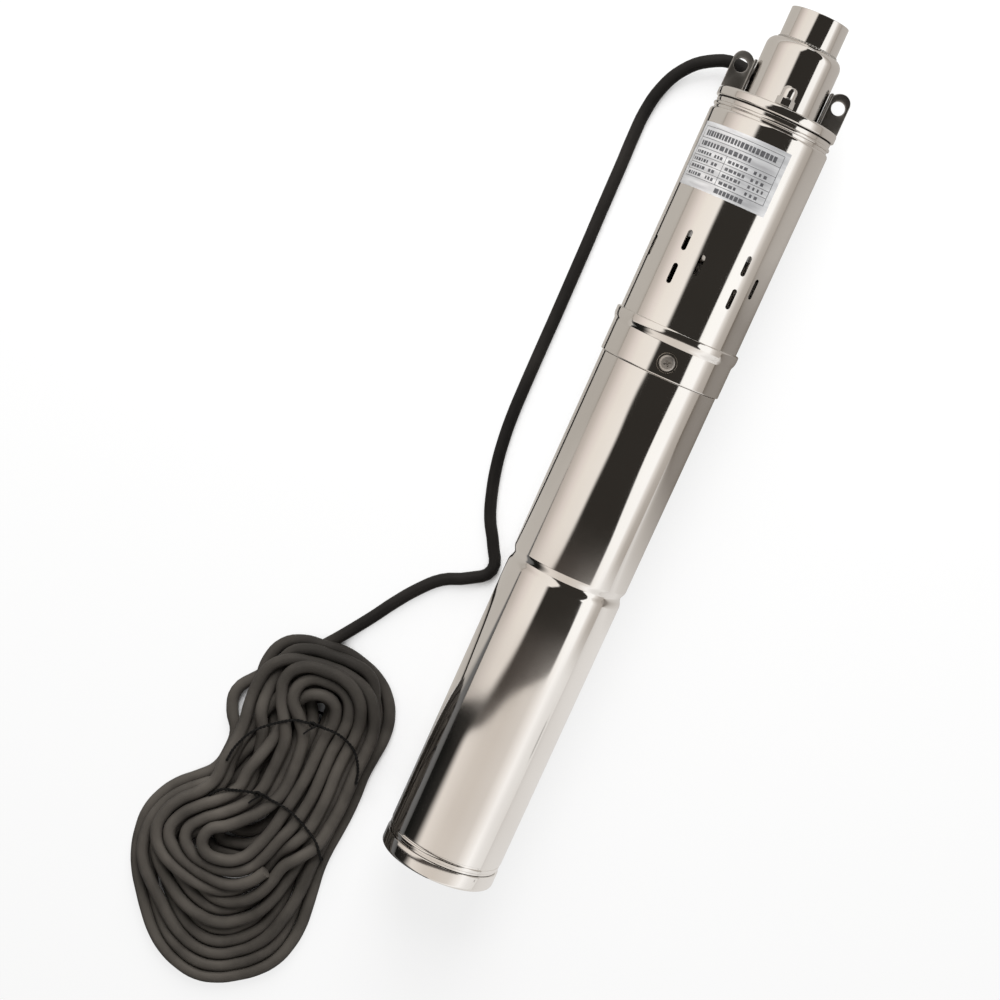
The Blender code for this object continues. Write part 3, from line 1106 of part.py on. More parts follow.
def smooth_route(points, spacing):
    """Points at an even spacing on a Catmull-Rom curve through the given points."""
    ends = [points[0] * 2 - points[1]] + points + [points[-1] * 2 - points[-2]]
    fine = []
    for index in range(len(points) - 1):
        before, start, end, after = ends[index:index + 4]
        for step in range(24):
            t = step / 24
            square = 2 * before - 5 * start + 4 * end - after
            cube = 3 * start - before - 3 * end + after
            fine.append(0.5 * (2 * start + (end - before) * t + square * t ** 2 + cube * t ** 3))
    fine.append(points[-1])
    total = sum((b - a).length for a, b in zip(fine, fine[1:]))
    count = max(2, round(total / spacing))
    result, walked, wanted = [fine[0]], 0.0, total / count
    for a, b in zip(fine, fine[1:]):
        step = (b - a).length
        while step > 0 and walked + step >= wanted * len(result) and len(result) < count:
            result.append(a.lerp(b, (wanted * len(result) - walked) / step))
        walked += step
    result.append(fine[-1])
    return result


def cord(axis, materials):
    """The free cord, from inside the gland round under the left ear and along the ground."""
    exit_x = ROD_CIRCLE * sin(radians(GLAND_AZIMUTH))
    exit_z = AXIS_HEIGHT + ROD_CIRCLE * cos(radians(GLAND_AZIMUTH))
    flange_y = FLANGE_TOP - OUTLET_RIM / 2
    inside = Vector((exit_x, FLANGE_BOTTOM + 2 * FIT - OUTLET_RIM / 2, exit_z))
    bend = [(exit_x, flange_y + 2.5 * MM, exit_z), (exit_x - 1.6 * MM, flange_y + 8.5 * MM, exit_z),
            (exit_x - 6.2 * MM, flange_y + 14.2 * MM, exit_z - 0.1 * MM),
            (exit_x - 13 * MM, flange_y + 17.2 * MM, exit_z - 0.3 * MM),
            (exit_x - 21.5 * MM, flange_y + 17.2 * MM, exit_z - 0.5 * MM)]
    points = [Vector(point) for point in bend] + [Vector(point) * MM for point in CORD_ROUTE]
    route = [inside] + smooth_route(points, 1.4 * 2 * CORD_RADIUS)
    curve = bpy.data.curves.new("cord_lead", "CURVE")
    curve.dimensions = "3D"
    spline = curve.splines.new("POLY")
    spline.points.add(len(route) - 1)
    for point, place in zip(spline.points, route):
        point.co = (*place, 1.0)
    curve.bevel_depth = CORD_RADIUS
    curve.bevel_resolution = 1
    curve.use_fill_caps = True
    curve.materials.append(materials["cord"])
    lead = bpy.data.objects.new("cord_lead", curve)
    bpy.context.collection.objects.link(lead)


def hank(materials):
    """The coiled cord as one solid of its outer shape, with a tie round its waist at two places."""
    outline = [Vector(point) * MM for point in HANK_OUTLINE]
    middle = sum(outline, Vector((0, 0))) / len(outline)
    top = FIT + HANK_HEIGHT
    rings = []
    sections = [(1.0, FIT), (1.0, top - HANK_CHAMFER), ((1 + HANK_TOP_SHARE) / 2, top - HANK_CHAMFER / 3),
                (HANK_TOP_SHARE, top)]
    for share, z in sections:
        rings.append([(*(middle + (point - middle) * share), z) for point in outline])
    add_object("cord_hank", loft(rings), materials["cord"], None, crease=40)
    for name, station in TIE_STATIONS.items():
        crossings = []
        for start, end in zip(outline, outline[1:] + outline[:1]):
            for y in (station * MM - TIE_WIDTH / 2, station * MM + TIE_WIDTH / 2):
                if (start.y - y) * (end.y - y) <= 0:
                    crossings.append(start.lerp(end, (y - start.y) / (end.y - start.y)).x)
        tie_band(name, min(crossings), max(crossings), station * MM, FIT, materials)


def tie_band(name, left, right, station, lift, materials):
    """A staple-shaped band over the hank, its feet just over the ground."""
    left, right, roof = left - FIT, right + FIT, lift + HANK_HEIGHT + FIT
    inner = [(left, lift), (left, roof), (right, roof), (right, lift)]
    thick = TIE_THICKNESS
    outer = [(right + thick, lift), (right + thick, roof + thick), (left - thick, roof + thick),
             (left - thick, lift)]
    shape = extrude_outline(inner + outer, station - TIE_WIDTH / 2, station + TIE_WIDTH / 2)
    stand_up = Matrix(((1, 0, 0, 0), (0, 0, 1, 0), (0, 1, 0, 0), (0, 0, 0, 1)))
    bmesh.ops.transform(shape, matrix=stand_up, verts=shape.verts)
    add_object(name, shape, materials["tie"], None)


def main():
    clear_scene()
    materials = make_materials()
    axis = pump_axis_empty()
    outlet_socket(axis, materials)
    outlet_head(axis, materials)
    lifting_ear("lifting_ear_left", -1, axis, materials)
    lifting_ear("lifting_ear_right", 1, axis, materials)
    tie_rods(axis, materials)
    cable_gland(axis, materials)
    neck_pieces(axis, materials)
    pump_barrel(axis, materials)
    stator(axis, materials)
    stator_support(axis, materials)
    screw_rotor(axis, materials)
    coupling_rod(axis, materials)
    shaft_coupling(axis, materials)
    joint_collar(axis, materials)
    collar_screws(axis, materials)
    bearing_top = upper_end_bell(axis, materials)
    mechanical_seal(axis, materials)
    ball_bearing("upper", bearing_top - FIT - BEARING_WIDTH, axis, materials)
    motor_core(axis, materials)
    lower_end_bell(axis, materials)
    motor_shaft(axis, materials)
    motor_barrel(axis, materials)
    electronics(axis, materials)
    base_pieces(axis, materials)
    internal_lead(axis, materials)
    cord(axis, materials)
    hank(materials)


main()
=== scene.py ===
# %% [markdown]
# A borehole submersible pump lies on a pale table with its rubber cord in a tied hank. The
# pump is polished stainless steel, so most of its look is what it mirrors. This lesson dresses
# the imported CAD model: first come the camera, the cord's path and the finishes, then the cord,
# its ties and the metal pieces, and last the table, the room and the light. Lengths in the
# tables are millimetres, and MM turns them into metres.

# %% Load the fixed frame
import json
import math
import random

import bmesh
import bpy
import numpy as np
from mathutils import Matrix, Vector, noise


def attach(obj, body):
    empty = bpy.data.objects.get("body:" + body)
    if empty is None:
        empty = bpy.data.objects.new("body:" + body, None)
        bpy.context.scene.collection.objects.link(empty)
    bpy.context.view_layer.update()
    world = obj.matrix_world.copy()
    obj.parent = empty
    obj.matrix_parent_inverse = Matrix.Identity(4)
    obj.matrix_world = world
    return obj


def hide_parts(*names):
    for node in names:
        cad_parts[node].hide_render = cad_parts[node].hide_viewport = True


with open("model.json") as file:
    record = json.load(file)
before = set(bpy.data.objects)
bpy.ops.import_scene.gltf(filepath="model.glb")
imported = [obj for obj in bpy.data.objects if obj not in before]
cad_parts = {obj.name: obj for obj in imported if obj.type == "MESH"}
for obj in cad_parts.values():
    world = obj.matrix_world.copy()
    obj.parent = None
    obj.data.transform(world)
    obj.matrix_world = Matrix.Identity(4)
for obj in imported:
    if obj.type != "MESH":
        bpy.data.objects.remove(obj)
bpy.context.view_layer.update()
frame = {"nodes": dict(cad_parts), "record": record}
MM = 0.001

# %% [markdown]
# The photograph looks almost straight down on the pump. The camera is tilted 8.2 degrees from
# the vertical and rolled by 24.1 degrees, which puts the pump on the picture's diagonal. Its
# place and its focal length were fitted to the seams of the barrel, so no shift is needed.

# %% Camera
CAMERA_PLACE = Vector((-0.0568, 0.1150, 1.2297))
CAMERA_TILT = math.radians(8.2)
CAMERA_ROLL = math.radians(24.1)
FOCAL_LENGTH = 70.2

level = Vector((1, 0, 0))
uphill = Vector((0, math.cos(CAMERA_TILT), -math.sin(CAMERA_TILT)))
picture_right = level * math.cos(CAMERA_ROLL) + uphill * math.sin(CAMERA_ROLL)
picture_up = uphill * math.cos(CAMERA_ROLL) - level * math.sin(CAMERA_ROLL)
towards_camera = picture_right.cross(picture_up)

camera = bpy.data.objects.new("camera", bpy.data.cameras.new("camera"))
bpy.context.scene.collection.objects.link(camera)
camera.data.lens = FOCAL_LENGTH
turn = Matrix((picture_right, picture_up, towards_camera)).transposed().to_4x4()
camera.matrix_world = Matrix.Translation(CAMERA_PLACE) @ turn
bpy.context.scene.camera = camera
bpy.context.scene.view_settings.view_transform = "Standard"
print("camera looks along", [round(x, 3) for x in -towards_camera])

# %% [markdown]
# The cord is one length of 8 mm rubber flex. It leaves the gland under the left lifting ear,
# runs along the table beside the pump, and ends in a hank. The free stretch repeats the route
# of the CAD source, point for point. A curve through those points is smoothed by Catmull-Rom
# weights, which pass through every point.

# %% Route of the free cord
CORD_RADIUS = 4.0
POINT_SPACING = 5.0
FREE_CORD = [
    (-15.5, 220.7, 13.15), (-15.5, 228.4, 13.15), (-17.1, 234.4, 13.15), (-21.7, 240.1, 13.05),
    (-28.5, 243.1, 12.85), (-37.0, 243.1, 12.65), (-46.0, 240.5, 12.2), (-54.0, 235.5, 10.6),
    (-61.0, 229.0, 8.8), (-66.8, 220.0, 7.0), (-70.6, 209.5, 5.4), (-72.8, 198.0, 4.6),
    (-73.4, 184.0, 4.3), (-73.0, 160.0, 4.3), (-72.8, 135.0, 4.3), (-72.4, 110.0, 4.3),
    (-72.2, 84.0, 4.3), (-72.0, 58.0, 4.3), (-72.0, 32.0, 4.3), (-71.8, 6.0, 4.3),
    (-71.0, -17.0, 4.3), (-68.1, -39.8, 4.3), (-63.5, -59.0, 4.3), (-57.5, -75.5, 4.3),
    (-49.6, -89.0, 4.3), (-43.8, -98.5, 4.3), (-43.6, -107.5, 4.3), (-51.0, -114.2, 4.3),
    (-61.5, -118.6, 4.3), (-71.6, -125.3, 4.3), (-82.0, -136.6, 4.3), (-91.1, -149.2, 4.3),
    (-99.4, -162.4, 4.3), (-108.0, -175.5, 4.3), (-117.5, -188.2, 4.3), (-125.2, -199.9, 4.3),
]


def catmull(before, start, end, after, t):
    """A point between start and end on the smooth curve through four points."""
    return 0.5 * (2 * start + (end - before) * t + (2 * before - 5 * start + 4 * end - after) * t * t
                  + (3 * start - before - 3 * end + after) * t ** 3)


def smooth_path(points, steps):
    """Every gap between the points filled with smooth steps."""
    points = np.array(points, float)
    padded = np.vstack([2 * points[0] - points[1], points, 2 * points[-1] - points[-2]])
    path = [catmull(*padded[i:i + 4], step / steps) for i in range(len(points) - 1) for step in range(steps)]
    return np.array(path + [points[-1]])


def even_path(path, spacing):
    """The same path with its points at an even spacing."""
    walked = np.r_[0, np.cumsum(np.linalg.norm(np.diff(path, axis=0), axis=1))]
    count = max(2, int(round(walked[-1] / spacing)))
    wanted = np.linspace(0, walked[-1], count + 1)
    return np.stack([np.interp(wanted, walked, path[:, axis]) for axis in range(3)], axis=1)


print("free cord:", len(FREE_CORD), "points given")

# %% [markdown]
# The hank is the same cord, wound fourteen times round a long loop that two wire ties pull in
# at the waist. Around the loop stand 23 stations, each with a place for the outermost strand
# and one for the innermost. A turn is described by where it lies between those two, and how
# high, at five zones of the loop: left waist, bottom lobe, its corner, right waist, top lobe.

# %% Plan of the hank
STATIONS = [
    (-140.6, -209.9, -117.3, -210.8), (-146.5, -222.2, -121.0, -217.7), (-148.4, -245.9, -113.6, -229.8),
    (-144.9, -267.1, -106.6, -243.8), (-145.6, -293.2, -106.6, -266.7), (-146.4, -310.1, -109.0, -292.0),
    (-163.9, -325.8, -129.6, -314.9), (-176.0, -346.6, -148.3, -327.1), (-177.1, -367.0, -152.1, -335.0),
    (-172.3, -382.8, -148.2, -341.7), (-155.0, -405.6, -138.3, -346.7), (-134.5, -425.3, -128.0, -348.0),
    (-106.6, -431.5, -117.4, -345.6), (-76.7, -409.2, -108.4, -337.7), (-69.1, -381.9, -102.7, -325.1),
    (-71.6, -357.6, -99.4, -313.7), (-74.2, -335.3, -100.0, -305.8), (-74.3, -321.0, -100.2, -296.8),
    (-71.4, -287.4, -98.4, -270.6), (-72.8, -261.9, -98.4, -248.5), (-70.6, -235.6, -96.5, -229.0),
    (-77.6, -219.5, -97.3, -214.5), (-92.1, -209.5, -104.8, -207.5),
]
ZONE_STATIONS = {"left": 4.2, "bottom": 11.6, "corner": 14.4, "right": 17.6, "top": 22.6}
TURNS = 14
# Share from the innermost (0) to the outermost (1) strand, and height over the table
ZONE_PLACES = {
    "left": [(1.0, 5), (0.70, 5), (0.36, 5), (0.05, 5), (0.90, 13), (0.60, 13), (0.30, 13), (0.05, 13),
             (0.95, 21), (0.60, 21), (0.25, 21), (1.0, 29), (0.36, 30), (0.06, 30), (0.68, 30)],
    "bottom": [(1.0, 5), (0.91, 7.5), (0.0, 5), (0.0, 5), (0.82, 10), (0.73, 12.5), (0.64, 15), (0.0, 13),
               (0.55, 17.5), (0.46, 20), (0.37, 22.5), (0.28, 25), (0.10, 30), (0.01, 32), (0.19, 27.5)],
    "corner": [(1.0, 5), (0.89, 7.5), (0.0, 5), (0.0, 5), (0.79, 10), (0.69, 12.5), (0.60, 15), (0.0, 13),
               (0.51, 17.5), (0.42, 20), (0.33, 22.5), (0.24, 25), (0.12, 30), (0.02, 32)],
    "right": [(1.0, 5), (0.72, 5), (0.38, 5), (0.05, 5), (0.95, 13), (0.62, 13), (0.22, 13),
              (0.05, 21), (0.85, 20), (0.48, 21), (1.0, 28), (0.70, 30), (0.38, 30), (0.06, 30)],
    "top": [(0.92, 5), (0.60, 5), (0.31, 5), (0.05, 5), (0.88, 13), (0.55, 13), (0.22, 13),
            (0.05, 21), (0.76, 21), (0.42, 21), (0.86, 28), (0.58, 30), (0.32, 30), (0.05, 30)],
}
# Some inner turns are shorter than the rest and fill the two holes from below: millimetres
# that a turn's bottom is drawn up, and its top drawn down
SHORTER_BOTTOM = {2: 3, 3: 17, 7: 10}
SHORTER_TOP = {3: 7}
SIDE_LOOP = [(-131.9, -206.5, 4.6), (-140.5, -216.0, 4.8), (-150.0, -227.5, 5), (-159.5, -239.5, 5),
             (-163.0, -251.0, 5), (-157.0, -262.0, 5), (-149.5, -272.0, 5)]
FIRST_STATION, LAST_STATION = 3.9, 13.8
STEPS = 4
print("the hank runs from y", min(row[1] for row in STATIONS), "to", max(row[1] for row in STATIONS), "mm")

# %% [markdown]
# Between two zones a strand blends softly from one place to the next, four steps to a station.
# The free stretch and a small side loop lead up to the first turn, and the whole path is then
# laid out in even steps. Most of the free stretch is pinned, because it has its final place.

# %% Strand by strand
PINNED_SHARE = 0.93


def station_point(u, share):
    """The place of a strand at a station counted on through all the turns."""
    count = len(STATIONS)
    whole = math.floor(u)
    four = [np.array(STATIONS[(whole + k) % count]) for k in (-1, 0, 1, 2)]
    row = catmull(*four, u - whole)
    return row[2:] + (row[:2] - row[2:]) * share


def drawn_in(u):
    """How far a shorter turn is drawn toward the waist at a station, along y."""
    shift = 0.0
    for turns, middle, reach, way in ((SHORTER_BOTTOM, 11.0, 4.5, 1), (SHORTER_TOP, 23.3, 4.0, -1)):
        for number, amount in turns.items():
            away = abs(u - number * len(STATIONS) - middle) / reach
            if away < 1:
                shift += way * amount * math.cos(away * math.pi / 2) ** 2
    return shift


count = len(STATIONS)
knots = []
for number in range(TURNS + 1):
    for zone, station in ZONE_STATIONS.items():
        if number < len(ZONE_PLACES[zone]):
            knots.append((number * count + station, *ZONE_PLACES[zone][number]))
knots.append((TURNS * count + LAST_STATION, 0.18, 27.5))
knots.sort()
knots = np.array([k for k in knots if k[0] <= TURNS * count + LAST_STATION])

wound = []
for step in range(int((TURNS * count + LAST_STATION - FIRST_STATION) * STEPS) + 1):
    u = FIRST_STATION + step / STEPS
    after = min(max(np.searchsorted(knots[:, 0], u), 1), len(knots) - 1)
    low, high = knots[after - 1], knots[after]
    t = min(max((u - low[0]) / (high[0] - low[0]), 0), 1)
    share, height = (low + (high - low) * (t * t * (3 - 2 * t)))[1:]
    x, y = station_point(u, share)
    wound.append((x, y + drawn_in(u), height))
free = even_path(smooth_path(FREE_CORD + SIDE_LOOP + [wound[0]], 12), POINT_SPACING)
planned = np.vstack([free[:-1], even_path(np.array(wound), POINT_SPACING)])
pinned = int(len(free) * PINNED_SHARE)
print("planned cord:", len(planned), "points,", round(len(wound) / len(STATIONS) / STEPS, 2), "turns")

# %% [markdown]
# A real hank has no strand inside another. Here a short settling loop does what gravity and
# touch do: every pair of strands that is too close is pushed apart, the whole sinks a little,
# nothing goes below the table, and each push is shared with the neighbours along the cord.

# %% Settle the strands
CLEAR = 2 * CORD_RADIUS + 0.1
TABLE_GAP = 1.0
TALLEST = 38.0
NEIGHBOURS = 6  # points along the cord that may be close to a point
LONGEST_PUSH = 1.2
SINK = 0.06
STAGES = 4
TIGHTEST = 14.0


def unbend(place, fixed, tightest):
    """Opens every bend of the cord that is tighter than its rubber allows."""
    reach = 2
    spacing = POINT_SPACING * reach
    sag = (place[:-2 * reach] + place[2 * reach:]) / 2 - place[reach:-reach]
    amount = np.linalg.norm(sag, axis=1)
    allowed = spacing ** 2 / (2 * tightest)
    share = np.clip(1 - allowed / np.maximum(amount, 1e-6), 0, 1)[:, None] * 0.5
    shift = np.zeros_like(place)
    shift[reach:-reach] += sag * share
    shift[:-2 * reach] -= sag * share / 2
    shift[2 * reach:] -= sag * share / 2
    shift[:fixed] = 0
    return place + shift


def settle(path, fixed, rounds, clear, tightest):
    """Pushes strands of one cord apart until they only touch."""
    target, place = path.copy(), path.copy()
    index = np.arange(len(path))
    near_by_length = np.abs(index[:, None] - index[None, :]) < NEIGHBOURS
    for _ in range(rounds):
        gap = place[:, None, :] - place[None, :, :]
        distance = np.sqrt((gap ** 2).sum(2)) + near_by_length * 1e3
        rows, columns = np.nonzero(distance < clear)
        push = np.zeros_like(place)
        pressed = distance[rows, columns]
        way = gap[rows, columns] / np.maximum(pressed, 1e-6)[:, None]
        np.add.at(push, rows, way * ((clear - pressed) * 0.5)[:, None])
        hits = np.bincount(rows, minlength=len(place))
        push /= np.maximum(hits, 1)[:, None] ** 0.5
        place += np.clip(push, -LONGEST_PUSH, LONGEST_PUSH)
        place[:, 2] -= SINK
        moved = place - target
        for _ in range(2):
            moved[1:-1] = moved[1:-1] * 0.5 + (moved[:-2] + moved[2:]) * 0.25
        moved[:fixed] = 0
        place = unbend(unbend(target + moved, fixed, tightest), fixed, tightest)
        place[fixed:, 2] = np.clip(place[fixed:, 2], CORD_RADIUS + TABLE_GAP, TALLEST - CORD_RADIUS)
    return place, pressed.min() if len(rows) else clear


def bend_radius(path, i, reach):
    """Radius of the circle through a point and its neighbours a few steps away."""
    a, b, c = path[i - reach], path[i], path[i + reach]
    area = np.linalg.norm(np.cross(b - a, c - a)) / 2
    sides = [np.linalg.norm(b - a), np.linalg.norm(c - b), np.linalg.norm(c - a)]
    return sides[0] * sides[1] * sides[2] / max(4 * area, 1e-6)


settled = planned
for _ in range(STAGES):
    loose = even_path(settled[pinned - 1:], POINT_SPACING)
    settled = np.vstack([settled[:pinned - 1], loose])
    settled, closest = settle(settled, pinned, 50, CLEAR, TIGHTEST)
tightest = min(bend_radius(settled, i, 3) for i in range(3, len(settled) - 3))
print("tightest bend: radius", round(float(tightest), 1), "mm")

# %% [markdown]
# Each finish is a small node tree. Colours drift between two close tones, roughness is smudged
# by a noise, and a faint bump breaks up the mirror. All patterns read Object coordinates, which
# are the same for every piece here because every piece sits at the origin. Polishing leaves
# rings round the pump, so its noise is stretched: it changes fast along y and slowly across.

# %% Building blocks of the finishes
def start_material(name):
    """A new material, its node tree and its Principled shader."""
    material = bpy.data.materials.new(name)
    material.use_nodes = True
    tree = material.node_tree
    return material, tree, tree.nodes["Principled BSDF"]


def feed(tree, socket, value):
    """Puts a number, a tone or another node's output into a socket."""
    if isinstance(value, bpy.types.NodeSocket):
        tree.links.new(value, socket)
    else:
        socket.default_value = (*value, 1) if isinstance(value, tuple) else value


def math_node(tree, operation, first, second=None):
    """The output of a Math node on one or two values."""
    made = tree.nodes.new("ShaderNodeMath")
    made.operation = operation
    for socket, value in zip(made.inputs, (first, second)):
        if value is not None:
            feed(tree, socket, value)
    return made.outputs[0]


def mixed(tree, share, first, second):
    """A blend of two tones."""
    mix = tree.nodes.new("ShaderNodeMix")
    mix.data_type = "RGBA"
    for socket, value in zip(("Factor", "A", "B"), (share, first, second)):
        feed(tree, mix.inputs[socket], value)
    return mix.outputs["Result"]


def ranged(tree, value, low, high, to_low=0.0, to_high=1.0, kind="LINEAR"):
    """A value brought from one range to another, and held at its ends."""
    step = tree.nodes.new("ShaderNodeMapRange")
    step.interpolation_type = kind
    sockets = ("Value", "From Min", "From Max", "To Min", "To Max")
    for socket, bound in zip(sockets, (value, low, high, to_low, to_high)):
        feed(tree, step.inputs[socket], bound)
    return step.outputs["Result"]


def tone_ramp(tree, value, stops):
    """Tones at places from 0 to 1, with even blends between them."""
    ramp = tree.nodes.new("ShaderNodeValToRGB")
    knots = ramp.color_ramp.elements
    while len(knots) < len(stops):
        knots.new(0.5)
    for knot, (place, tone) in zip(knots, stops):
        knot.position = place
        knot.color = (*tone, 1)
    feed(tree, ramp.inputs["Fac"], value)
    return ramp.outputs["Color"]


def parts_of(tree, kind):
    """The x, y and z of a texture coordinate."""
    place = tree.nodes.new("ShaderNodeTexCoord")
    parts = tree.nodes.new("ShaderNodeSeparateXYZ")
    tree.links.new(place.outputs[kind], parts.inputs[0])
    return parts.outputs


def pattern(tree, scale, detail=4.0, stretch=(1, 1, 1)):
    """The output of a noise on Object coordinates, stretched by a Mapping node."""
    place = tree.nodes.new("ShaderNodeTexCoord")
    mapping = tree.nodes.new("ShaderNodeMapping")
    mapping.inputs["Scale"].default_value = stretch
    grain = tree.nodes.new("ShaderNodeTexNoise")
    grain.inputs["Scale"].default_value = scale
    grain.inputs["Detail"].default_value = detail
    grain.inputs["Roughness"].default_value = 0.5
    tree.links.new(place.outputs["Object"], mapping.inputs["Vector"])
    tree.links.new(mapping.outputs["Vector"], grain.inputs["Vector"])
    return grain.outputs["Fac"]


print("node helpers ready")

# %% [markdown]
# A finish sets its tones, its roughness and its bumps. Steel gets polishing rings and a faint
# waviness. Rubber gets a soft sheen and two grains, one very fine and one broad.

# %% Steel and rubber
def tones(tree, shader, value, dark, light, low=0.35, high=0.65):
    """Base colour between two tones, chosen by a pattern."""
    feed(tree, shader.inputs["Base Color"], tone_ramp(tree, value, [(low, dark), (high, light)]))


def smudge(tree, shader, value, low, high):
    """Roughness between two values, chosen by a pattern."""
    feed(tree, shader.inputs["Roughness"], ranged(tree, value, 0.3, 0.7, low, high))


def bumps(tree, shader, layers):
    """Stacked bumps: each layer is (pattern, height in metres)."""
    last = None
    for value, height in layers:
        bump = tree.nodes.new("ShaderNodeBump")
        bump.inputs["Strength"].default_value = 1.0
        bump.inputs["Distance"].default_value = height
        tree.links.new(value, bump.inputs["Height"])
        if last:
            tree.links.new(last, bump.inputs["Normal"])
        last = bump.outputs["Normal"]
    tree.links.new(last, shader.inputs["Normal"])


def metal(name, dark, light, rough_low, rough_high, ring_height, wave_height):
    """Steel with polishing rings and a faint waviness."""
    material, tree, shader = start_material(name)
    shader.inputs["Metallic"].default_value = 1.0
    tones(tree, shader, pattern(tree, 9, 3), dark, light)
    smudge(tree, shader, pattern(tree, 26, 5), rough_low, rough_high)
    rings = pattern(tree, 60, 3, (0.25, 14, 0.25))
    waves = pattern(tree, 14, 1, (1, 0.35, 1))
    bumps(tree, shader, [(waves, wave_height), (rings, ring_height)])
    return material


def rubber(name, dark, light, rough_low, rough_high, grain_height):
    """Rubber with a soft sheen: its material, tree and shader."""
    material, tree, shader = start_material(name)
    shader.inputs["Specular IOR Level"].default_value = 0.13
    tones(tree, shader, pattern(tree, 22, 5), dark, light, 0.30, 0.72)
    smudge(tree, shader, pattern(tree, 60, 4), rough_low, rough_high)
    bumps(tree, shader, [(pattern(tree, 900, 3), grain_height), (pattern(tree, 45, 2), grain_height * 8)])
    return material, tree, shader


STEEL = metal("polished_stainless_finish", (0.80, 0.775, 0.75), (0.86, 0.84, 0.815),
              0.045, 0.10, 0.0000008, 0.000012)
SATIN = metal("satin_stainless_finish", (0.56, 0.55, 0.53), (0.70, 0.69, 0.67),
              0.24, 0.36, 0.000004, 0.00001)
EAR_STEEL = metal("ear_steel_finish", (0.40, 0.39, 0.375), (0.52, 0.51, 0.495),
                  0.26, 0.40, 0.000006, 0.00002)
SCREW_STEEL = metal("screw_steel_finish", (0.50, 0.475, 0.445), (0.62, 0.59, 0.56),
                    0.42, 0.52, 0.000002, 0.000006)
BLACK_RUBBER = rubber("black_rubber_finish", (0.018, 0.017, 0.016), (0.035, 0.033, 0.031),
                      0.5, 0.65, 0.00001)[0]
TIE_RUBBER = rubber("tie_wire_finish", (0.004, 0.004, 0.004), (0.010, 0.0095, 0.009),
                    0.4, 0.6, 0.000008)[0]
print("finishes so far:", len(bpy.data.materials))

# %% [markdown]
# The cord is rubber too, nearly black where it lies free. On the hank it has been handled, so
# brown dust lies over it in patches, and it comes in past y = -0.2 m.

# %% Dusty rubber of the cord
DUST = (0.140, 0.125, 0.108)
CORD_RUBBER, tree, shader = rubber("cord_rubber_finish", (0.0065, 0.0062, 0.006), (0.020, 0.018, 0.0165),
                                   0.38, 0.55, 0.000008)
on_hank = ranged(tree, parts_of(tree, "Object")[1], -0.18, -0.24)
patches = math_node(tree, "MULTIPLY", on_hank, pattern(tree, 34, 6))
clean = shader.inputs["Base Color"].links[0].from_socket
feed(tree, shader.inputs["Base Color"], mixed(tree, patches, clean, DUST))
print("nodes in the cord's finish:", len(tree.nodes))

# %% [markdown]
# The settled path becomes one smooth curve with a round section. Its points are further apart
# than those of the settling, so that its bends stay round.

# %% Cord as one curve
points = np.vstack([even_path(settled[:pinned], 17.0)[:-1], even_path(settled[pinned - 1:], 14.0)])
curve = bpy.data.curves.new("rubber_cord", "CURVE")
curve.dimensions = "3D"
spline = curve.splines.new("BEZIER")
spline.bezier_points.add(len(points) - 1)
for knot, point in zip(spline.bezier_points, points):
    knot.co = point * MM
    knot.handle_left_type = knot.handle_right_type = "AUTO"
    knot.radius = CORD_RADIUS * MM
curve.resolution_u = 4
curve.bevel_depth = 1.0
curve.bevel_resolution = 5
curve.use_fill_caps = True
cord = bpy.data.objects.new("rubber_cord", curve)
bpy.context.scene.collection.objects.link(cord)
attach(cord, "casing")
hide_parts("cord_lead", "cord_hank")
curve.materials.append(CORD_RUBBER)
print("cord curve:", len(points), "points")

# %% [markdown]
# Two lengths of thin black wire tie the hank. Each goes over the strands, down both sides and
# back beneath, and its ends are twisted into a knot on top. Here the wire's route is drawn on
# the table, and its height is read from the settled strands below it. It is pulled tight, so
# the route is the upper envelope of those heights.

# %% Ties of the hank
TIE_RADIUS = 0.8
WIRE_HEIGHT = 0.7  # of the wire's middle where it lies on the table
TIE_ROUTES = {
    "upper": [(-148.5, -285.0), (-146.5, -272.0), (-139.0, -256.5), (-121.5, -241.0), (-109.0, -238.0),
              (-99.1, -237.5), (-89.1, -238.0), (-77.1, -243.5), (-69.5, -254.5), (-66.5, -266.0)],
    "lower": [(-151.0, -312.0), (-143.1, -303.0), (-125.2, -296.5), (-116.5, -296.0), (-100.8, -297.4),
              (-86.6, -303.1), (-73.2, -312.2), (-66.5, -325.5)],
}
KNOTS = {"upper": (-106.5, -238.2), "lower": (-121.5, -296.6)}
strands = even_path(settled, 2.0)[int(pinned * 2.0):]


def height_over(place, reach):
    """Height at which a wire over the strands rests at a place on the table."""
    flat = np.linalg.norm(strands[:, :2] - place, axis=1)
    near = flat < reach
    if not near.any():
        return TIE_RADIUS
    return float((strands[near, 2] + np.sqrt(reach ** 2 - flat[near] ** 2)).max())


def tie_route(route):
    """A closed loop of points: over the strands, and back under them."""
    reach = CORD_RADIUS + TIE_RADIUS
    plan = even_path(smooth_path([(x, y, 0) for x, y in route], 8), 1.5)[:, :2]
    walked = np.arange(len(plan)) * 1.5
    heights = np.array([height_over(place, reach) for place in plan])
    hull = [0]
    heights[0] = heights[-1] = WIRE_HEIGHT
    for i in range(1, len(plan)):
        while len(hull) > 1 and ((heights[hull[-1]] - heights[hull[-2]]) * (walked[i] - walked[hull[-2]])
                                 < (heights[i] - heights[hull[-2]]) * (walked[hull[-1]] - walked[hull[-2]])):
            hull.pop()
        hull.append(i)
    over = np.interp(walked, walked[hull], heights[hull])
    top = [(x, y, z) for (x, y), z in zip(plan, over)]
    under = [(x, y, WIRE_HEIGHT) for x, y in plan[::-1][2:-2:3]]
    return np.array(top + under)


print("strands to tie:", len(strands), "points")

# %% [markdown]
# The wire is two thin strands twisted round the route, so each tie is a pair of closed tubes.
# A third short tube is the knot: two and a half turns with a tail at each end.

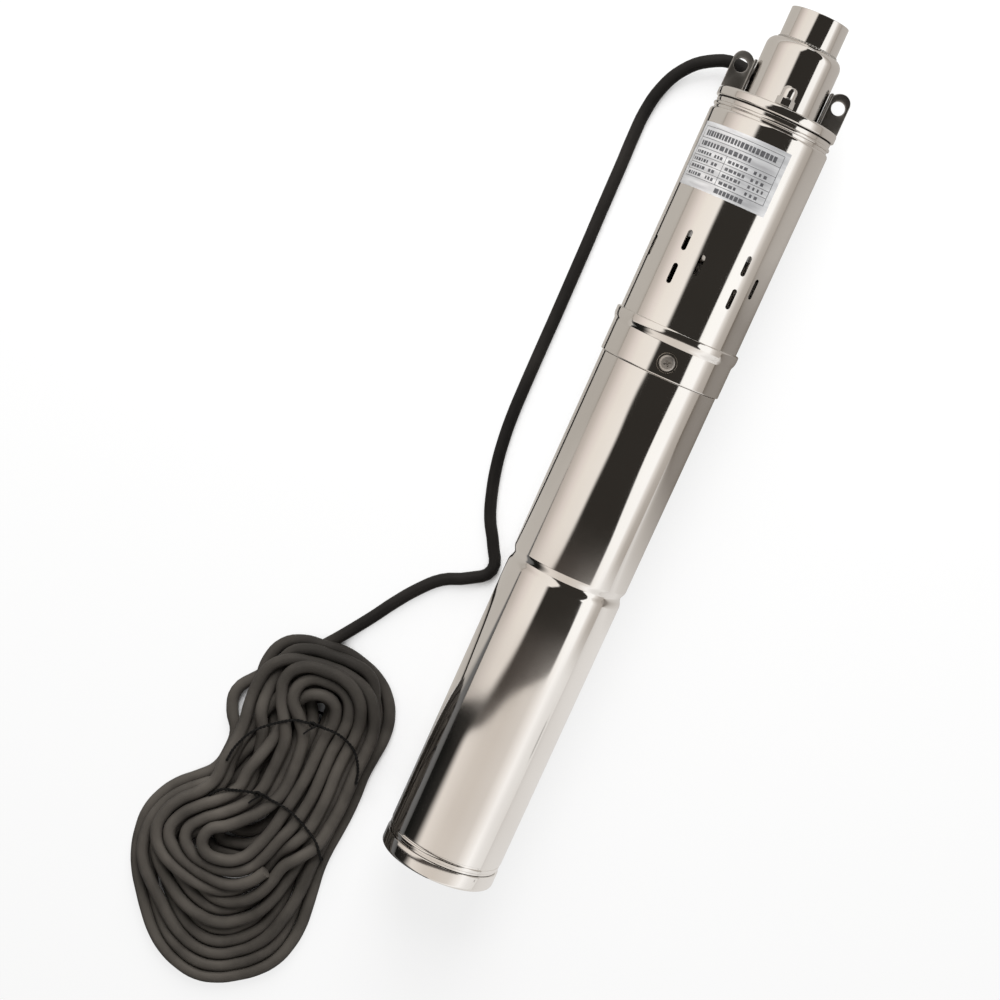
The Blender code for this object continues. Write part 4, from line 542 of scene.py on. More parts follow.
# %% Twisted wires and knots
def wire_tube(name, path, radius, closed):
    """A thin tube along a path, as a mesh."""
    data = bpy.data.curves.new(name, "CURVE")
    data.dimensions = "3D"
    line = data.splines.new("POLY")
    line.points.add(len(path) - 1)
    for knot, point in zip(line.points, path):
        knot.co = (*(np.array(point) * MM), 1)
    line.use_cyclic_u = closed
    data.bevel_depth = radius * MM
    data.bevel_resolution = 2
    data.use_fill_caps = True
    holder = bpy.data.objects.new(name, data)
    bpy.context.scene.collection.objects.link(holder)
    mesh = bpy.data.meshes.new_from_object(holder.evaluated_get(bpy.context.evaluated_depsgraph_get()))
    bpy.data.objects.remove(holder)
    mesh.materials.clear()
    mesh.materials.append(TIE_RUBBER)
    mesh.shade_smooth()
    piece = bpy.data.objects.new(name, mesh)
    bpy.context.scene.collection.objects.link(piece)
    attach(piece, "casing")
    return piece


def twisted(path, offset, pitch, phase):
    """A path that winds round another path, as one of two twisted wires does."""
    steps = np.gradient(path, axis=0)
    steps /= np.maximum(np.linalg.norm(steps, axis=1), 1e-9)[:, None]
    side = np.cross(steps, (0, 0, 1))
    side /= np.maximum(np.linalg.norm(side, axis=1), 1e-9)[:, None]
    rise = np.cross(side, steps)
    walked = np.r_[0, np.cumsum(np.linalg.norm(np.diff(path, axis=0), axis=1))]
    turn = (walked / pitch * math.tau + phase)[:, None]
    return path + offset * (side * np.cos(turn) + rise * np.sin(turn))


def knot_path(crest):
    """Two and a half turns round a point, with a tail at each end."""
    turns = []
    for step in range(0, 49, 4):
        angle = step / 48 * math.tau * 2.5
        turns.append((2.2 * math.cos(angle), 1.6 * math.sin(angle), 1.3 + 0.8 * math.sin(1.5 * angle)))
    around = [(-3.0, -8.0, 1.2), (-1.5, -5.0, 0.8), *turns, (5.0, 1.5, 0.6), (8.5, 0.2, 1.4)]
    return smooth_path([crest + np.array(step) for step in around], 4)


for name, route in TIE_ROUTES.items():
    loop = tie_route(route)
    loop = even_path(np.vstack([loop, loop[:1]]), 1.0)
    for strand in (0, 1):
        wound_wire = twisted(loop, 0.5, 5.0, math.pi * strand)[:-1]
        wire_tube(f"tie_{name}_wire_{strand + 1}", wound_wire, 0.55, True)
    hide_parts("hank_tie_" + name)
    to_knot = np.linalg.norm(loop[:, :2] - np.array(KNOTS[name]), axis=1)
    crest = loop[np.argmin(to_knot + (loop[:, 2] < 10) * 99)]
    wire_tube(f"tie_{name}_knot", knot_path(crest), 0.6, False)
    print("tie", name, "top at", round(float(loop[:, 2].max()), 1), "mm")

# %% [markdown]
# Nearly every metal piece is turned, pressed or rolled round one axis, so it can be made as a
# lathe makes it: draw half of its section, round the corners, and spin it. The section stands
# on the base cap, and LAY_DOWN lays the finished mesh on the table, outlet first. The spin has
# 192 steps, because a mirror finish shows every facet.

# %% A lathe for sections of (radius, station, corner radius)
AXIS_HEIGHT = 40.0
PUMP_LENGTH = 569.0
ROUND = 192
LAY_DOWN = (Matrix.Translation((0, -PUMP_LENGTH / 2 * MM, AXIS_HEIGHT * MM))
            @ Matrix.Rotation(-math.pi / 2, 4, "X"))


def placed(shape, matrix, name, material, node=None, crease=30):
    """Moves a shape to its place and makes it a smooth piece that rides on the casing."""
    bmesh.ops.transform(shape, matrix=matrix, verts=shape.verts)
    mesh = bpy.data.meshes.new(name)
    shape.to_mesh(mesh)
    shape.free()
    mesh.shade_smooth()
    mesh.set_sharp_from_angle(angle=math.radians(crease))
    mesh.materials.append(material)
    piece = bpy.data.objects.new(name, mesh)
    bpy.context.scene.collection.objects.link(piece)
    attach(piece, "casing")
    if node:
        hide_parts(node)
    return piece


def rounded(shape, parts, offset, segments, affect="EDGES"):
    """Bevels corners or edges round."""
    bmesh.ops.bevel(shape, geom=parts, offset=offset * MM, offset_type="OFFSET", segments=segments, profile=0.5,
                    affect=affect, material=-1)


def section(shape, corners, closed=True, arc_steps=6):
    """A wire outline in the plane of the axis, with its corners rounded by a bevel."""
    verts = [shape.verts.new((radius * MM, 0, station * MM)) for radius, station, _ in corners]
    pairs = zip(verts, verts[1:] + verts[:1] if closed else verts[1:])
    for pair in pairs:
        shape.edges.new(pair)
    for vert, (_, _, rounding) in zip(verts, corners):
        if rounding:
            rounded(shape, [vert], rounding, arc_steps, "VERTICES")


def spun(corners, closed=True, steps=ROUND, arc_steps=6):
    """A bmesh of a section spun round the upright axis."""
    shape = bmesh.new()
    section(shape, corners, closed, arc_steps)
    bmesh.ops.spin(shape, geom=shape.verts[:] + shape.edges[:], cent=(0, 0, 0), axis=(0, 0, 1),
                   dvec=(0, 0, 0), angle=math.tau, steps=steps, use_merge=True, use_duplicate=False)
    bmesh.ops.remove_doubles(shape, verts=shape.verts, dist=1e-6)
    bmesh.ops.recalc_face_normals(shape, faces=shape.faces)
    return shape


def turned(name, corners, material, node):
    """A turned piece that stands for a CAD node."""
    piece = placed(spun(corners), LAY_DOWN, name, material, node)
    print(name, len(piece.data.polygons), "faces")
    return piece


print("a full turn has", ROUND, "steps")

# %% [markdown]
# Holes and pockets are cut with plain cones and bars. Each cutter, and each small piece, gets
# a frame of its own, which stands on the pump's skin at an azimuth or lies along the pump.

# %% Cutters and places of small pieces
def cone(low_radius, high_radius, depth, segments, matrix):
    """A bmesh of a capped cone or bar, its own z along the matrix's z."""
    shape = bmesh.new()
    bmesh.ops.create_cone(shape, cap_ends=True, segments=segments, radius1=low_radius * MM,
                          radius2=high_radius * MM, depth=depth * MM, matrix=matrix)
    return shape


def rises(edge):
    """True for an edge whose two ends are at different heights."""
    return abs(edge.verts[0].co.z - edge.verts[1].co.z) > 1e-6


def cut(piece, cutters):
    """Takes the cutters' shape out of a piece, and keeps the cut mesh."""
    bmesh.ops.recalc_face_normals(cutters, faces=cutters.faces)
    mesh = bpy.data.meshes.new("cutter")
    cutters.to_mesh(mesh)
    cutters.free()
    tool = bpy.data.objects.new("cutter", mesh)
    bpy.context.scene.collection.objects.link(tool)
    boolean = piece.modifiers.new("cut", "BOOLEAN")
    boolean.operation = "DIFFERENCE"
    boolean.object = tool
    boolean.solver = "EXACT"
    result = bpy.data.meshes.new_from_object(piece.evaluated_get(bpy.context.evaluated_depsgraph_get()))
    piece.modifiers.clear()
    result.shade_smooth()
    result.set_sharp_from_angle(angle=math.radians(30))
    piece.data = result
    bpy.data.objects.remove(tool)
    bpy.data.meshes.remove(mesh)
    return piece


def upright(azimuth, radius, station):
    """The frame of a small piece at an azimuth: its own z points outward and its y to the outlet."""
    turn = math.radians(azimuth)
    outward = Vector((math.sin(turn), -math.cos(turn), 0))
    along = Vector((0, 0, 1))
    sideways = along.cross(outward)
    frame_matrix = Matrix((sideways, along, outward)).transposed().to_4x4()
    frame_matrix.translation = outward * radius * MM + along * station * MM
    return LAY_DOWN @ frame_matrix


def beside(azimuth, radius, station):
    """The frame of a small piece whose own z runs along the pump, at an azimuth and a radius."""
    turn = math.radians(azimuth)
    place = Vector((math.sin(turn) * radius, -math.cos(turn) * radius, station)) * MM
    return LAY_DOWN @ Matrix.Translation(place) @ Matrix.Rotation(turn, 4, "Z")


print("pump axis at", AXIS_HEIGHT, "mm over the table")

# %% [markdown]
# The outlet socket has an inside pipe thread. The thread is one ridge: a small triangle spun
# five times round while it also climbs, which is what spin's dvec is for. Its root stands a
# little inside the socket's bore, and its crest is on the bore of the CAD part.

# %% Outlet socket and head
SOCKET_BORE = 16.5
THREAD_CREST = 15.25
THREAD_PITCH = 2.31
THREAD_TURNS = 5
THREAD_STEPS = 64

turned("threaded_socket", [(SOCKET_BORE, 544.9, 0), (17.0, 544.9, 0), (17.0, 550.3, 0), (18.2, 550.3, 0),
                           (18.2, 569.0, 0.4), (16.9, 569.0, 0.2), (SOCKET_BORE, 568.4, 0.3)],
       STEEL, "outlet_socket")
ridge = bmesh.new()
section(ridge, [(SOCKET_BORE + 0.1, 553.0, 0), (THREAD_CREST, 554.15, 0.2), (SOCKET_BORE + 0.1, 555.3, 0)])
bmesh.ops.spin(ridge, geom=ridge.verts[:] + ridge.edges[:], cent=(0, 0, 0), axis=(0, 0, 1),
               dvec=(0, 0, THREAD_PITCH * MM / THREAD_STEPS), angle=math.tau * THREAD_TURNS,
               steps=THREAD_STEPS * THREAD_TURNS, use_merge=False, use_duplicate=False)
bmesh.ops.holes_fill(ridge, edges=[edge for edge in ridge.edges if edge.is_boundary], sides=0)
bmesh.ops.recalc_face_normals(ridge, faces=ridge.faces)
placed(ridge, LAY_DOWN, "socket_thread", SATIN)

head = turned("pressed_head", [(17.3, 550.0, 0.3), (23.5, 550.0, 6.0), (23.5, 510.4, 0.9), (38.0, 510.4, 1.7),
                               (38.0, 504.6, 0.9), (24.3, 504.6, 0), (24.3, 508.6, 0), (20.5, 508.6, 0),
                               (20.5, 547.0, 3.0), (17.3, 547.0, 0)],
              STEEL, "outlet_head")
ROD_AZIMUTHS = (0, 180)
GLAND_AZIMUTH = -150
ROD_CIRCLE = 31.0


def drill(radius, azimuth, low, high):
    """A cutter parallel to the pump for a hole on the rod circle."""
    return cone(radius, radius, high - low, 32, beside(azimuth, ROD_CIRCLE, (low + high) / 2))


for azimuth in ROD_AZIMUTHS:
    cut(head, drill(3.3, azimuth, 503.6, 511.4))
cut(head, drill(5.9, GLAND_AZIMUTH, 503.6, 511.4))

# %% [markdown]
# Two welds show as fine dark rings of small scales: one where the socket enters the head, one
# at the flange. Each is a thin ring whose section rises and falls a little on its way round,
# as a row of weld spots does.

# %% Weld rings
def weld(name, radius, station, size, spots):
    shape = spun([(radius - size, station, 0), (radius, station + size, 0), (radius + size, station, 0),
                  (radius, station - size, 0)], steps=spots * 4)
    bmesh.ops.subdivide_edges(shape, edges=[e for e in shape.edges if rises(e)], cuts=1, smooth=1.0)
    for vert in shape.verts:
        around_turn = math.atan2(vert.co.y, vert.co.x)
        swell = 1 + 0.22 * math.cos(spots * around_turn) + 0.12 * noise.noise(vert.co * 900)
        centre = Vector((vert.co.x, vert.co.y, 0)).normalized() * radius * MM + Vector((0, 0, station * MM))
        vert.co = centre + (vert.co - centre) * swell
    placed(shape, LAY_DOWN, name, SATIN, crease=180)


weld("socket_weld", 18.25, 550.2, 0.55, 64)
weld("flange_weld", 23.7, 510.7, 0.6, 80)
print("welds made")

# %% [markdown]
# Under the flange come a thin black gasket and the neck ring with its bead. The pump barrel is
# a rolled tube whose upper edge turns in over the ring.

# %% Neck
gasket = turned("flat_gasket", [(24.8, 503.9, 0), (36.3, 503.9, 0.15), (36.3, 504.5, 0.15), (24.8, 504.5, 0)],
                BLACK_RUBBER, "head_gasket")
neck = turned("grooved_neck", [(24.8, 503.8, 0), (36.6, 503.8, 0.3), (36.4, 501.3, 0.3), (37.4, 500.9, 0.5),
                               (37.4, 499.4, 0.5), (36.4, 499.0, 0.3), (36.4, 497.6, 0), (36.2, 497.6, 0),
                               (36.2, 490.6, 0), (24.8, 490.6, 0)],
              STEEL, "neck_ring")
for piece, low, high in ((gasket, 503.4, 504.9), (neck, 489.6, 504.4)):
    for azimuth in ROD_AZIMUTHS:
        cut(piece, drill(3.3, azimuth, low, high))
    cut(piece, drill(4.3, GLAND_AZIMUTH, low, high))

# %% [markdown]
# The inlet slots are punched in three rows. A slot cutter is a rounded bar: a disc whose one
# half is moved along the pump, then raised outward through the wall. After the cut, the mesh
# has long flat faces beside the slots, which would dent the mirror finish. So the corners of
# the barrel's outer skin get exact radial normals.

# %% Pump barrel with its slots
PUMP_RADIUS = 38.0
PUMP_BARREL_ENDS = (362.0, 497.3)
SLOT_LENGTH, SLOT_WIDTH = 12.7, 3.4
SLOT_MIDDLE, SLOT_ROW_PITCH = 408.0, 10.5
SLOT_GROUPS, SLOT_AZIMUTH, SLOT_STAGGER = 6, -30, 20


def slot_cutter(azimuth, station, inside, outside):
    """A bar with round ends, from one radius to another, with its length along the pump."""
    shape = bmesh.new()
    bmesh.ops.create_circle(shape, cap_ends=True, segments=32, radius=SLOT_WIDTH / 2 * MM)
    reach = (SLOT_LENGTH / 2 - SLOT_WIDTH / 2) * MM
    for vert in shape.verts:
        vert.co.y += reach if vert.co.y > 0 else -reach
    raised = bmesh.ops.extrude_face_region(shape, geom=shape.faces[:])
    tops = [item for item in raised["geom"] if isinstance(item, bmesh.types.BMVert)]
    bmesh.ops.translate(shape, verts=tops, vec=(0, 0, (outside - inside) * MM))
    bmesh.ops.transform(shape, matrix=upright(azimuth, inside, station), verts=shape.verts)
    return shape


def join(shapes):
    """Several separate bmesh shapes in one."""
    whole = bmesh.new()
    for shape in shapes:
        mesh = bpy.data.meshes.new("scrap")
        shape.to_mesh(mesh)
        shape.free()
        whole.from_mesh(mesh)
        bpy.data.meshes.remove(mesh)
    return whole


def round_normals(piece, radius):
    """Exact radial normals on the outer skin of a barrel that lies along y."""
    mesh = piece.data
    normals = [corner.vector.copy() for corner in mesh.corner_normals]
    for face in mesh.polygons:
        middle = Vector((face.center.x, 0, face.center.z - AXIS_HEIGHT * MM))
        places = [mesh.vertices[v].co for v in face.vertices]
        reach = [math.hypot(place.x, place.z - AXIS_HEIGHT * MM) for place in places]
        on_skin = all(abs(away - radius * MM) < 0.02 * MM for away in reach)
        if on_skin and face.normal.dot(middle.normalized()) > 0.9:
            for corner in face.loop_indices:
                place = mesh.vertices[mesh.loops[corner].vertex_index].co
                normals[corner] = Vector((place.x, 0, place.z - AXIS_HEIGHT * MM)).normalized()
    mesh.normals_split_custom_set(normals)


barrel = turned("slotted_barrel", [(36.5, PUMP_BARREL_ENDS[0], 0), (PUMP_RADIUS, PUMP_BARREL_ENDS[0], 0),
                                   (PUMP_RADIUS, PUMP_BARREL_ENDS[1], 1.9), (36.5, PUMP_BARREL_ENDS[1], 0)],
                STEEL, "pump_barrel")
slots = []
for group in range(SLOT_GROUPS):
    azimuth = SLOT_AZIMUTH + group * 360 / SLOT_GROUPS
    for row, shift in ((1, 0), (0, SLOT_STAGGER), (-1, 0)):
        slots.append((azimuth + shift, SLOT_MIDDLE + row * SLOT_ROW_PITCH))
cut(barrel, join([slot_cutter(*place, 33.0, 41.0) for place in slots]))
round_normals(barrel, PUMP_RADIUS)
print("slots:", len(slots), "faces after the cut:", len(barrel.data.polygons))

# %% [markdown]
# The collar joins the pump to the motor. Three pan-head screws hold it, each in a shallow
# round pocket with a bright bevelled rim.

# %% Joint collar and its screws
COLLAR_FOOT, COLLAR_TOP = 339.3, 367.4
COLLAR_RADIUS = 38.7
POCKET_FLOOR = 37.8
SCREW_STATION = COLLAR_FOOT + 9.0
SCREW_AZIMUTHS = {1: 0, 2: 120, 3: -120}
CROSS_ARMS = (35, 125)

collar = turned("flared_collar", [
    (36.5, COLLAR_FOOT, 0), (COLLAR_RADIUS, COLLAR_FOOT, 0.6), (COLLAR_RADIUS, 359.4, 1.0),
    (39.6, 361.2, 0.8), (40.0, 363.2, 1.2), (40.0, COLLAR_TOP, 0.9), (38.3, COLLAR_TOP, 0.2),
    (38.3, 361.7, 0), (36.5, 361.7, 0)], STEEL, "joint_collar")
pockets = []
for azimuth in SCREW_AZIMUTHS.values():
    pockets.append(cone(5.9, 7.3, 2.4, 64, upright(azimuth, POCKET_FLOOR + 1.2, SCREW_STATION)))
    pockets.append(cone(2.3, 2.3, 4, 24, upright(azimuth, POCKET_FLOOR - 0.8, SCREW_STATION)))
for tool in pockets:
    cut(collar, tool)
round_normals(collar, COLLAR_RADIUS)

for number, azimuth in SCREW_AZIMUTHS.items():
    screw = spun([(0, -7.0, 0), (1.6, -7.0, 0), (2.0, -6.4, 0), (2.0, 0.3, 0), (4.8, 0.3, 0.2), (4.8, 1.3, 0.4),
                  (4.0, 1.9, 0.8), (0, 2.0, 0)], closed=False, steps=48)
    piece = placed(screw, upright(azimuth, POCKET_FLOOR, SCREW_STATION), f"collar_pan_screw_{number}",
                   SCREW_STEEL, f"collar_screw_{number}", crease=35)
    for arm in CROSS_ARMS:
        cut(piece, cone(2.3, 3.5, 2.4, 4, upright(azimuth, POCKET_FLOOR + 1.7, SCREW_STATION)
                        @ Matrix.Rotation(math.radians(arm), 4, "Z") @ Matrix.Diagonal((1, 0.21, 1, 1))
                        @ Matrix.Rotation(math.radians(45), 4, "Z")))

print("collar screws:", len(SCREW_AZIMUTHS))

# %% [markdown]
# The motor barrel is a long plain tube. A groove is rolled into it where it grips the carrier
# of the lower bearing, so its sides are soft and its floor is round.

# %% Motor barrel and base
MOTOR_RADIUS = 37.5
GROOVE = 202.8

turned("rolled_motor_barrel", [
    (36.0, 16.8, 0), (MOTOR_RADIUS, 16.8, 0.3), (MOTOR_RADIUS, GROOVE - 4.3, 1.6), (35.9, GROOVE - 0.8, 1.2),
    (35.9, GROOVE + 0.8, 1.2), (MOTOR_RADIUS, GROOVE + 4.3, 1.0), (MOTOR_RADIUS, 339.0, 0.3), (36.0, 339.0, 0),
    (36.0, GROOVE + 4.3, 1.6), (34.4, GROOVE + 0.8, 1.2), (34.4, GROOVE - 0.8, 1.2), (36.0, GROOVE - 4.3, 1.6)],
    STEEL, "motor_barrel")
turned("grooved_base_ring", [
    (27.0, 34.8, 0), (35.7, 34.8, 0.5), (35.7, 24.4, 0), (33.6, 24.4, 0), (33.6, 21.2, 0), (35.7, 21.2, 0),
    (35.7, 16.5, 0), (36.5, 16.5, 0), (36.5, 15.2, 0.2), (37.2, 15.2, 0.7), (37.2, 12.5, 0.7),
    (36.5, 12.5, 0.2), (36.5, 11.2, 0), (33.7, 11.2, 0), (33.7, 7.0, 0), (27.0, 7.0, 0)],
    STEEL, "base_ring")
turned("domed_base_cap", [
    (2.5, 3.0, 0), (34.0, 3.0, 0), (34.0, 10.9, 0), (37.8, 10.9, 0.5), (37.8, 0.0, 2.6), (2.5, 0.0, 0.4)],
    STEEL, "bottom_cap")

# %% [markdown]
# The two lifting ears are bent sheet: a flat plate with a rope hole, and a tab that is spot
# welded to the head's wall. The plate starts as a flat outline, its top corners are rounded by
# a bevel, and a circle is left open in it when it is filled. It gets its thickness by an
# extrusion, and a fine bevel breaks its edges and those of the hole.

# %% Lifting ears
EAR_THICKNESS = 3.0
EAR_FOOT = 510.7
EAR_TOP = 534.3
EAR_HOLE = 4.2


def lifting_ear(name, side, node):
    shape = bmesh.new()
    outline = [(25.1, EAR_FOOT), (37.7, EAR_FOOT), (37.7, EAR_TOP), (25.7, EAR_TOP), (23.8, EAR_TOP - 9.0),
               (23.8, EAR_FOOT + 1.3)]
    verts = [shape.verts.new((side * radius * MM, -EAR_THICKNESS / 2 * MM, station * MM))
             for radius, station in outline]
    for pair in zip(verts, verts[1:] + verts[:1]):
        shape.edges.new(pair)
    rounded(shape, verts[2:4], 5.9, 16, "VERTICES")
    bmesh.ops.create_circle(shape, cap_ends=False, segments=48, radius=EAR_HOLE * MM,
                            matrix=Matrix.Translation((side * 31.7 * MM, -EAR_THICKNESS / 2 * MM, 525.5 * MM))
                            @ Matrix.Rotation(math.pi / 2, 4, "X"))
    bmesh.ops.triangle_fill(shape, use_beauty=True, use_dissolve=False, edges=shape.edges[:], normal=(0, 1, 0))
    raised = bmesh.ops.extrude_face_region(shape, geom=shape.faces[:])
    moved = [item for item in raised["geom"] if isinstance(item, bmesh.types.BMVert)]
    bmesh.ops.translate(shape, verts=moved, vec=(0, EAR_THICKNESS * MM, 0))
    rim = [e for e in shape.edges if len(e.link_faces) == 2 and e.calc_face_angle(0) > 0.8
           and abs(e.verts[0].co.y - e.verts[1].co.y) < 1e-7]
    rounded(shape, rim, 0.35, 3)
    bmesh.ops.recalc_face_normals(shape, faces=shape.faces)
    placed(shape, LAY_DOWN, name, EAR_STEEL, node)
    tab = bmesh.new()
    bmesh.ops.create_cube(tab, size=1.0)
    bmesh.ops.scale(tab, vec=(1.8 * MM, 8.4 * MM, 19.4 * MM), verts=tab.verts)
    rounded(tab, tab.edges[:], 0.5, 3)
    bmesh.ops.translate(tab, verts=tab.verts, vec=(side * 24.7 * MM, -3.8 * MM, (EAR_FOOT + 11.2) * MM))
    placed(tab, LAY_DOWN, name + "_tab", EAR_STEEL)


lifting_ear("left_rope_ear", -1, "lifting_ear_left")
lifting_ear("right_rope_ear", 1, "lifting_ear_right")
print("ears reach station", EAR_TOP, "mm")

# %% [markdown]
# A cap nut is a six-sided prism with a spun dome on top. Fine bevels take off first the upright
# corners of the prism and then all its level edges.

# %% Cap nuts and the cord's gland
NUT_FOOT = 510.7


def cap_nut(name, azimuth, node):
    hexagon = cone(5.77, 5.77, 4.8, 6, Matrix.Translation((0, 0, 2.4 * MM))
                   @ Matrix.Rotation(math.radians(30), 4, "Z"))
    rounded(hexagon, [e for e in hexagon.edges if rises(e)], 0.25, 3)
    rounded(hexagon, [e for e in hexagon.edges if not rises(e)], 0.45, 3)
    dome = spun([(0, 4.6, 0), (4.8, 4.6, 0), (4.8, 5.2, 0.3), (4.5, 5.4, 0), (4.5, 12.3, 3.4), (0, 12.3, 0)],
                closed=False, steps=64, arc_steps=12)
    placed(join([hexagon, dome]), beside(azimuth, ROD_CIRCLE, NUT_FOOT), name,
           STEEL, node)


cap_nut("dome_nut_front", 0, "cap_nut_front")
cap_nut("dome_nut_rear", 180, "cap_nut_rear")

gland = spun([(4.3, -5.8, 0), (5.6, -5.8, 0.3), (5.6, 0.3, 0), (6.8, 0.3, 0.3), (6.5, 1.1, 0.4),
              (4.3, 1.1, 0.3)], steps=48)
placed(gland, beside(GLAND_AZIMUTH, ROD_CIRCLE, 510.4), "rubber_gland",
       BLACK_RUBBER, "cable_gland")
print("cap nuts and gland made")

# %% [markdown]
# The rating label is a thin sheet of brushed foil, rolled round the barrel. Its frame, rules
# and bars are printed ink: flat patches that a bend wraps a hair above the foil. The bars
# stand where lines of print would be.

# %% Rating label
LABEL_LOW, LABEL_HIGH = 448.0, 487.4
LABEL_LEFT, LABEL_RIGHT = -72.0, 25.0
LABEL_RADIUS = PUMP_RADIUS + 0.08


def wrapped(shape_list, name, radius, thickness, material):
    """Flat patches of (azimuth from, to, station from, to) wrapped round the barrel as thin sheets."""
    whole = bmesh.new()
    for left, right, low, high in shape_list:
        steps = max(1, int(abs(right - left) / 1.5))
        made = bmesh.ops.create_grid(whole, x_segments=steps, y_segments=1, size=0.5)
        for vert in made["verts"]:
            azimuth = math.radians(left + (right - left) * (vert.co.x + 0.5))
            station = (low + (high - low) * (vert.co.y + 0.5)) * MM
            vert.co = (radius * MM * math.sin(azimuth), -radius * MM * math.cos(azimuth), station)
    bmesh.ops.recalc_face_normals(whole, faces=whole.faces)
    outward = sum(1 if f.normal.dot(Vector((f.calc_center_median().x, f.calc_center_median().y, 0))) > 0 else -1
                  for f in whole.faces)
    if outward < 0:
        bmesh.ops.reverse_faces(whole, faces=whole.faces)
    bmesh.ops.solidify(whole, geom=whole.faces[:], thickness=-thickness * MM)
    bmesh.ops.recalc_face_normals(whole, faces=whole.faces)
    placed(whole, LAY_DOWN, name, material)


FOIL, tree, shader = start_material("label_foil_finish")
shader.inputs["Metallic"].default_value = 0.55
tones(tree, shader, pattern(tree, 300, 4, (0.15, 1, 0.15)), (0.55, 0.555, 0.57), (0.78, 0.785, 0.80))
smudge(tree, shader, pattern(tree, 40, 3), 0.30, 0.42)
bumps(tree, shader, [(pattern(tree, 500, 3, (0.1, 1, 0.1)), 0.00001)])
INK, tree, shader = start_material("printing_ink_finish")
tones(tree, shader, pattern(tree, 700, 3), (0.05, 0.05, 0.055), (0.10, 0.10, 0.105))
smudge(tree, shader, pattern(tree, 300, 3), 0.4, 0.6)
bumps(tree, shader, [(pattern(tree, 1500, 2), 0.000005)])

wrapped([(LABEL_LEFT, LABEL_RIGHT, LABEL_LOW, LABEL_HIGH)], "label_foil", LABEL_RADIUS, 0.1,
        FOIL)
FRAME_LEFT, FRAME_RIGHT, FRAME_LOW, FRAME_HIGH = -67.0, 19.5, 455.0, 484.5
RULE = 0.28
RULE_TURN = 0.45
FOOT_RULE = FRAME_LOW - 1.2
ROWS = [471.6, 466.9, 462.4, 458.2, FOOT_RULE]
ink = [(FRAME_LEFT, FRAME_RIGHT, low, low + RULE) for low in (FRAME_HIGH, 477.6)]
ink.append((FRAME_LEFT, FRAME_LEFT + RULE_TURN, FRAME_LOW, FRAME_HIGH))
ink.append((FRAME_RIGHT, FRAME_RIGHT + RULE_TURN, FOOT_RULE, FRAME_HIGH))
ink += [(FRAME_LEFT, FRAME_RIGHT, low, low + RULE) for low in ROWS]
ink.append((-28.0, -28.0 + RULE_TURN, ROWS[-1], ROWS[0]))
COLUMNS = ((-64, -44, 4.0, 1.1), (-40, -31, 3.0, 1.1), (-25, -6, 4.0, 1.1), (0, 15, 3.0, 2.4))
draw = random.Random(7)


def bars(left, right, low, high, least, most, space):
    """Plain bars of random lengths along a line, as a stand-in for print."""
    place = left
    while place < right - least:
        wide = min(draw.uniform(least, most), right - place)
        ink.append((place, place + wide, low, high))
        place += wide + space


bars(-62, 14, 479.2, 482.6, 2.0, 4.0, 0.9)
bars(-63, -6, 473.2, 476.0, 2.0, 5.0, 1.3)
for low in ROWS[1:]:
    for left, right, most, space in COLUMNS:
        bars(left, right, low + 1.3, low + 3.2, 1.6, most, space)
bars(-26, 4, 449.6, 452.4, 2.4, 4.4, 0.8)
wrapped(ink, "label_print", LABEL_RADIUS + 0.13, 0.03, INK)
print("label:", len(ink), "ink patches")

# %% [markdown]
# The inner pieces keep their CAD shapes, because they only show through the slots and the
# outlet. Each gets the finish of its own stuff in place of the flat CAD colour.

# %% Finishes of the inner pieces
def plain_finish(name, dark, light, metallic, rough_low, rough_high, scale, height):
    """Two close tones, smudges and a fine grain."""
    material, tree, shader = start_material(name + "_finish")
    shader.inputs["Metallic"].default_value = metallic
    tones(tree, shader, pattern(tree, scale), dark, light)
    smudge(tree, shader, pattern(tree, scale * 1.7), rough_low, rough_high)
    bumps(tree, shader, [(pattern(tree, scale * 6, 3), height)])
    return material


INNER_LOOKS = {
    "cast_aluminium": ((0.42, 0.43, 0.44), (0.56, 0.57, 0.58), 1.0, 0.42, 0.58, 60, 0.00004),
    "copper_winding": ((0.45, 0.17, 0.07), (0.66, 0.29, 0.12), 1.0, 0.30, 0.45, 220, 0.00006),
    "lamination_steel": ((0.22, 0.22, 0.235), (0.33, 0.33, 0.345), 1.0, 0.40, 0.55, 180, 0.00002),
    "sintered_magnet": ((0.14, 0.14, 0.15), (0.22, 0.22, 0.235), 0.8, 0.32, 0.45, 120, 0.00001),
    "seal_carbon": ((0.030, 0.030, 0.033), (0.055, 0.055, 0.06), 0.0, 0.28, 0.40, 150, 0.000006),
    "circuit_board": ((0.012, 0.10, 0.040), (0.025, 0.17, 0.07), 0.0, 0.35, 0.50, 90, 0.00001),
    "capacitor_sleeve": ((0.02, 0.03, 0.07), (0.04, 0.055, 0.11), 0.0, 0.30, 0.42, 80, 0.000006),
}
finishes = {name: plain_finish(name, *look) for name, look in INNER_LOOKS.items()}
finishes.update(polished_stainless=STEEL, satin_stainless=SATIN, black_rubber=BLACK_RUBBER,
                cord_rubber=CORD_RUBBER, tie_wire=BLACK_RUBBER)
slot_of = {entry["node"]: entry["material_slot"] for entry in frame["record"]["subparts"]}
dressed = [node for node, thing in frame["nodes"].items() if not thing.hide_render]
for node in dressed:
    frame["nodes"][node].data.materials.clear()
    frame["nodes"][node].data.materials.append(finishes[slot_of[node]])
print("CAD nodes with a new finish:", len(dressed))
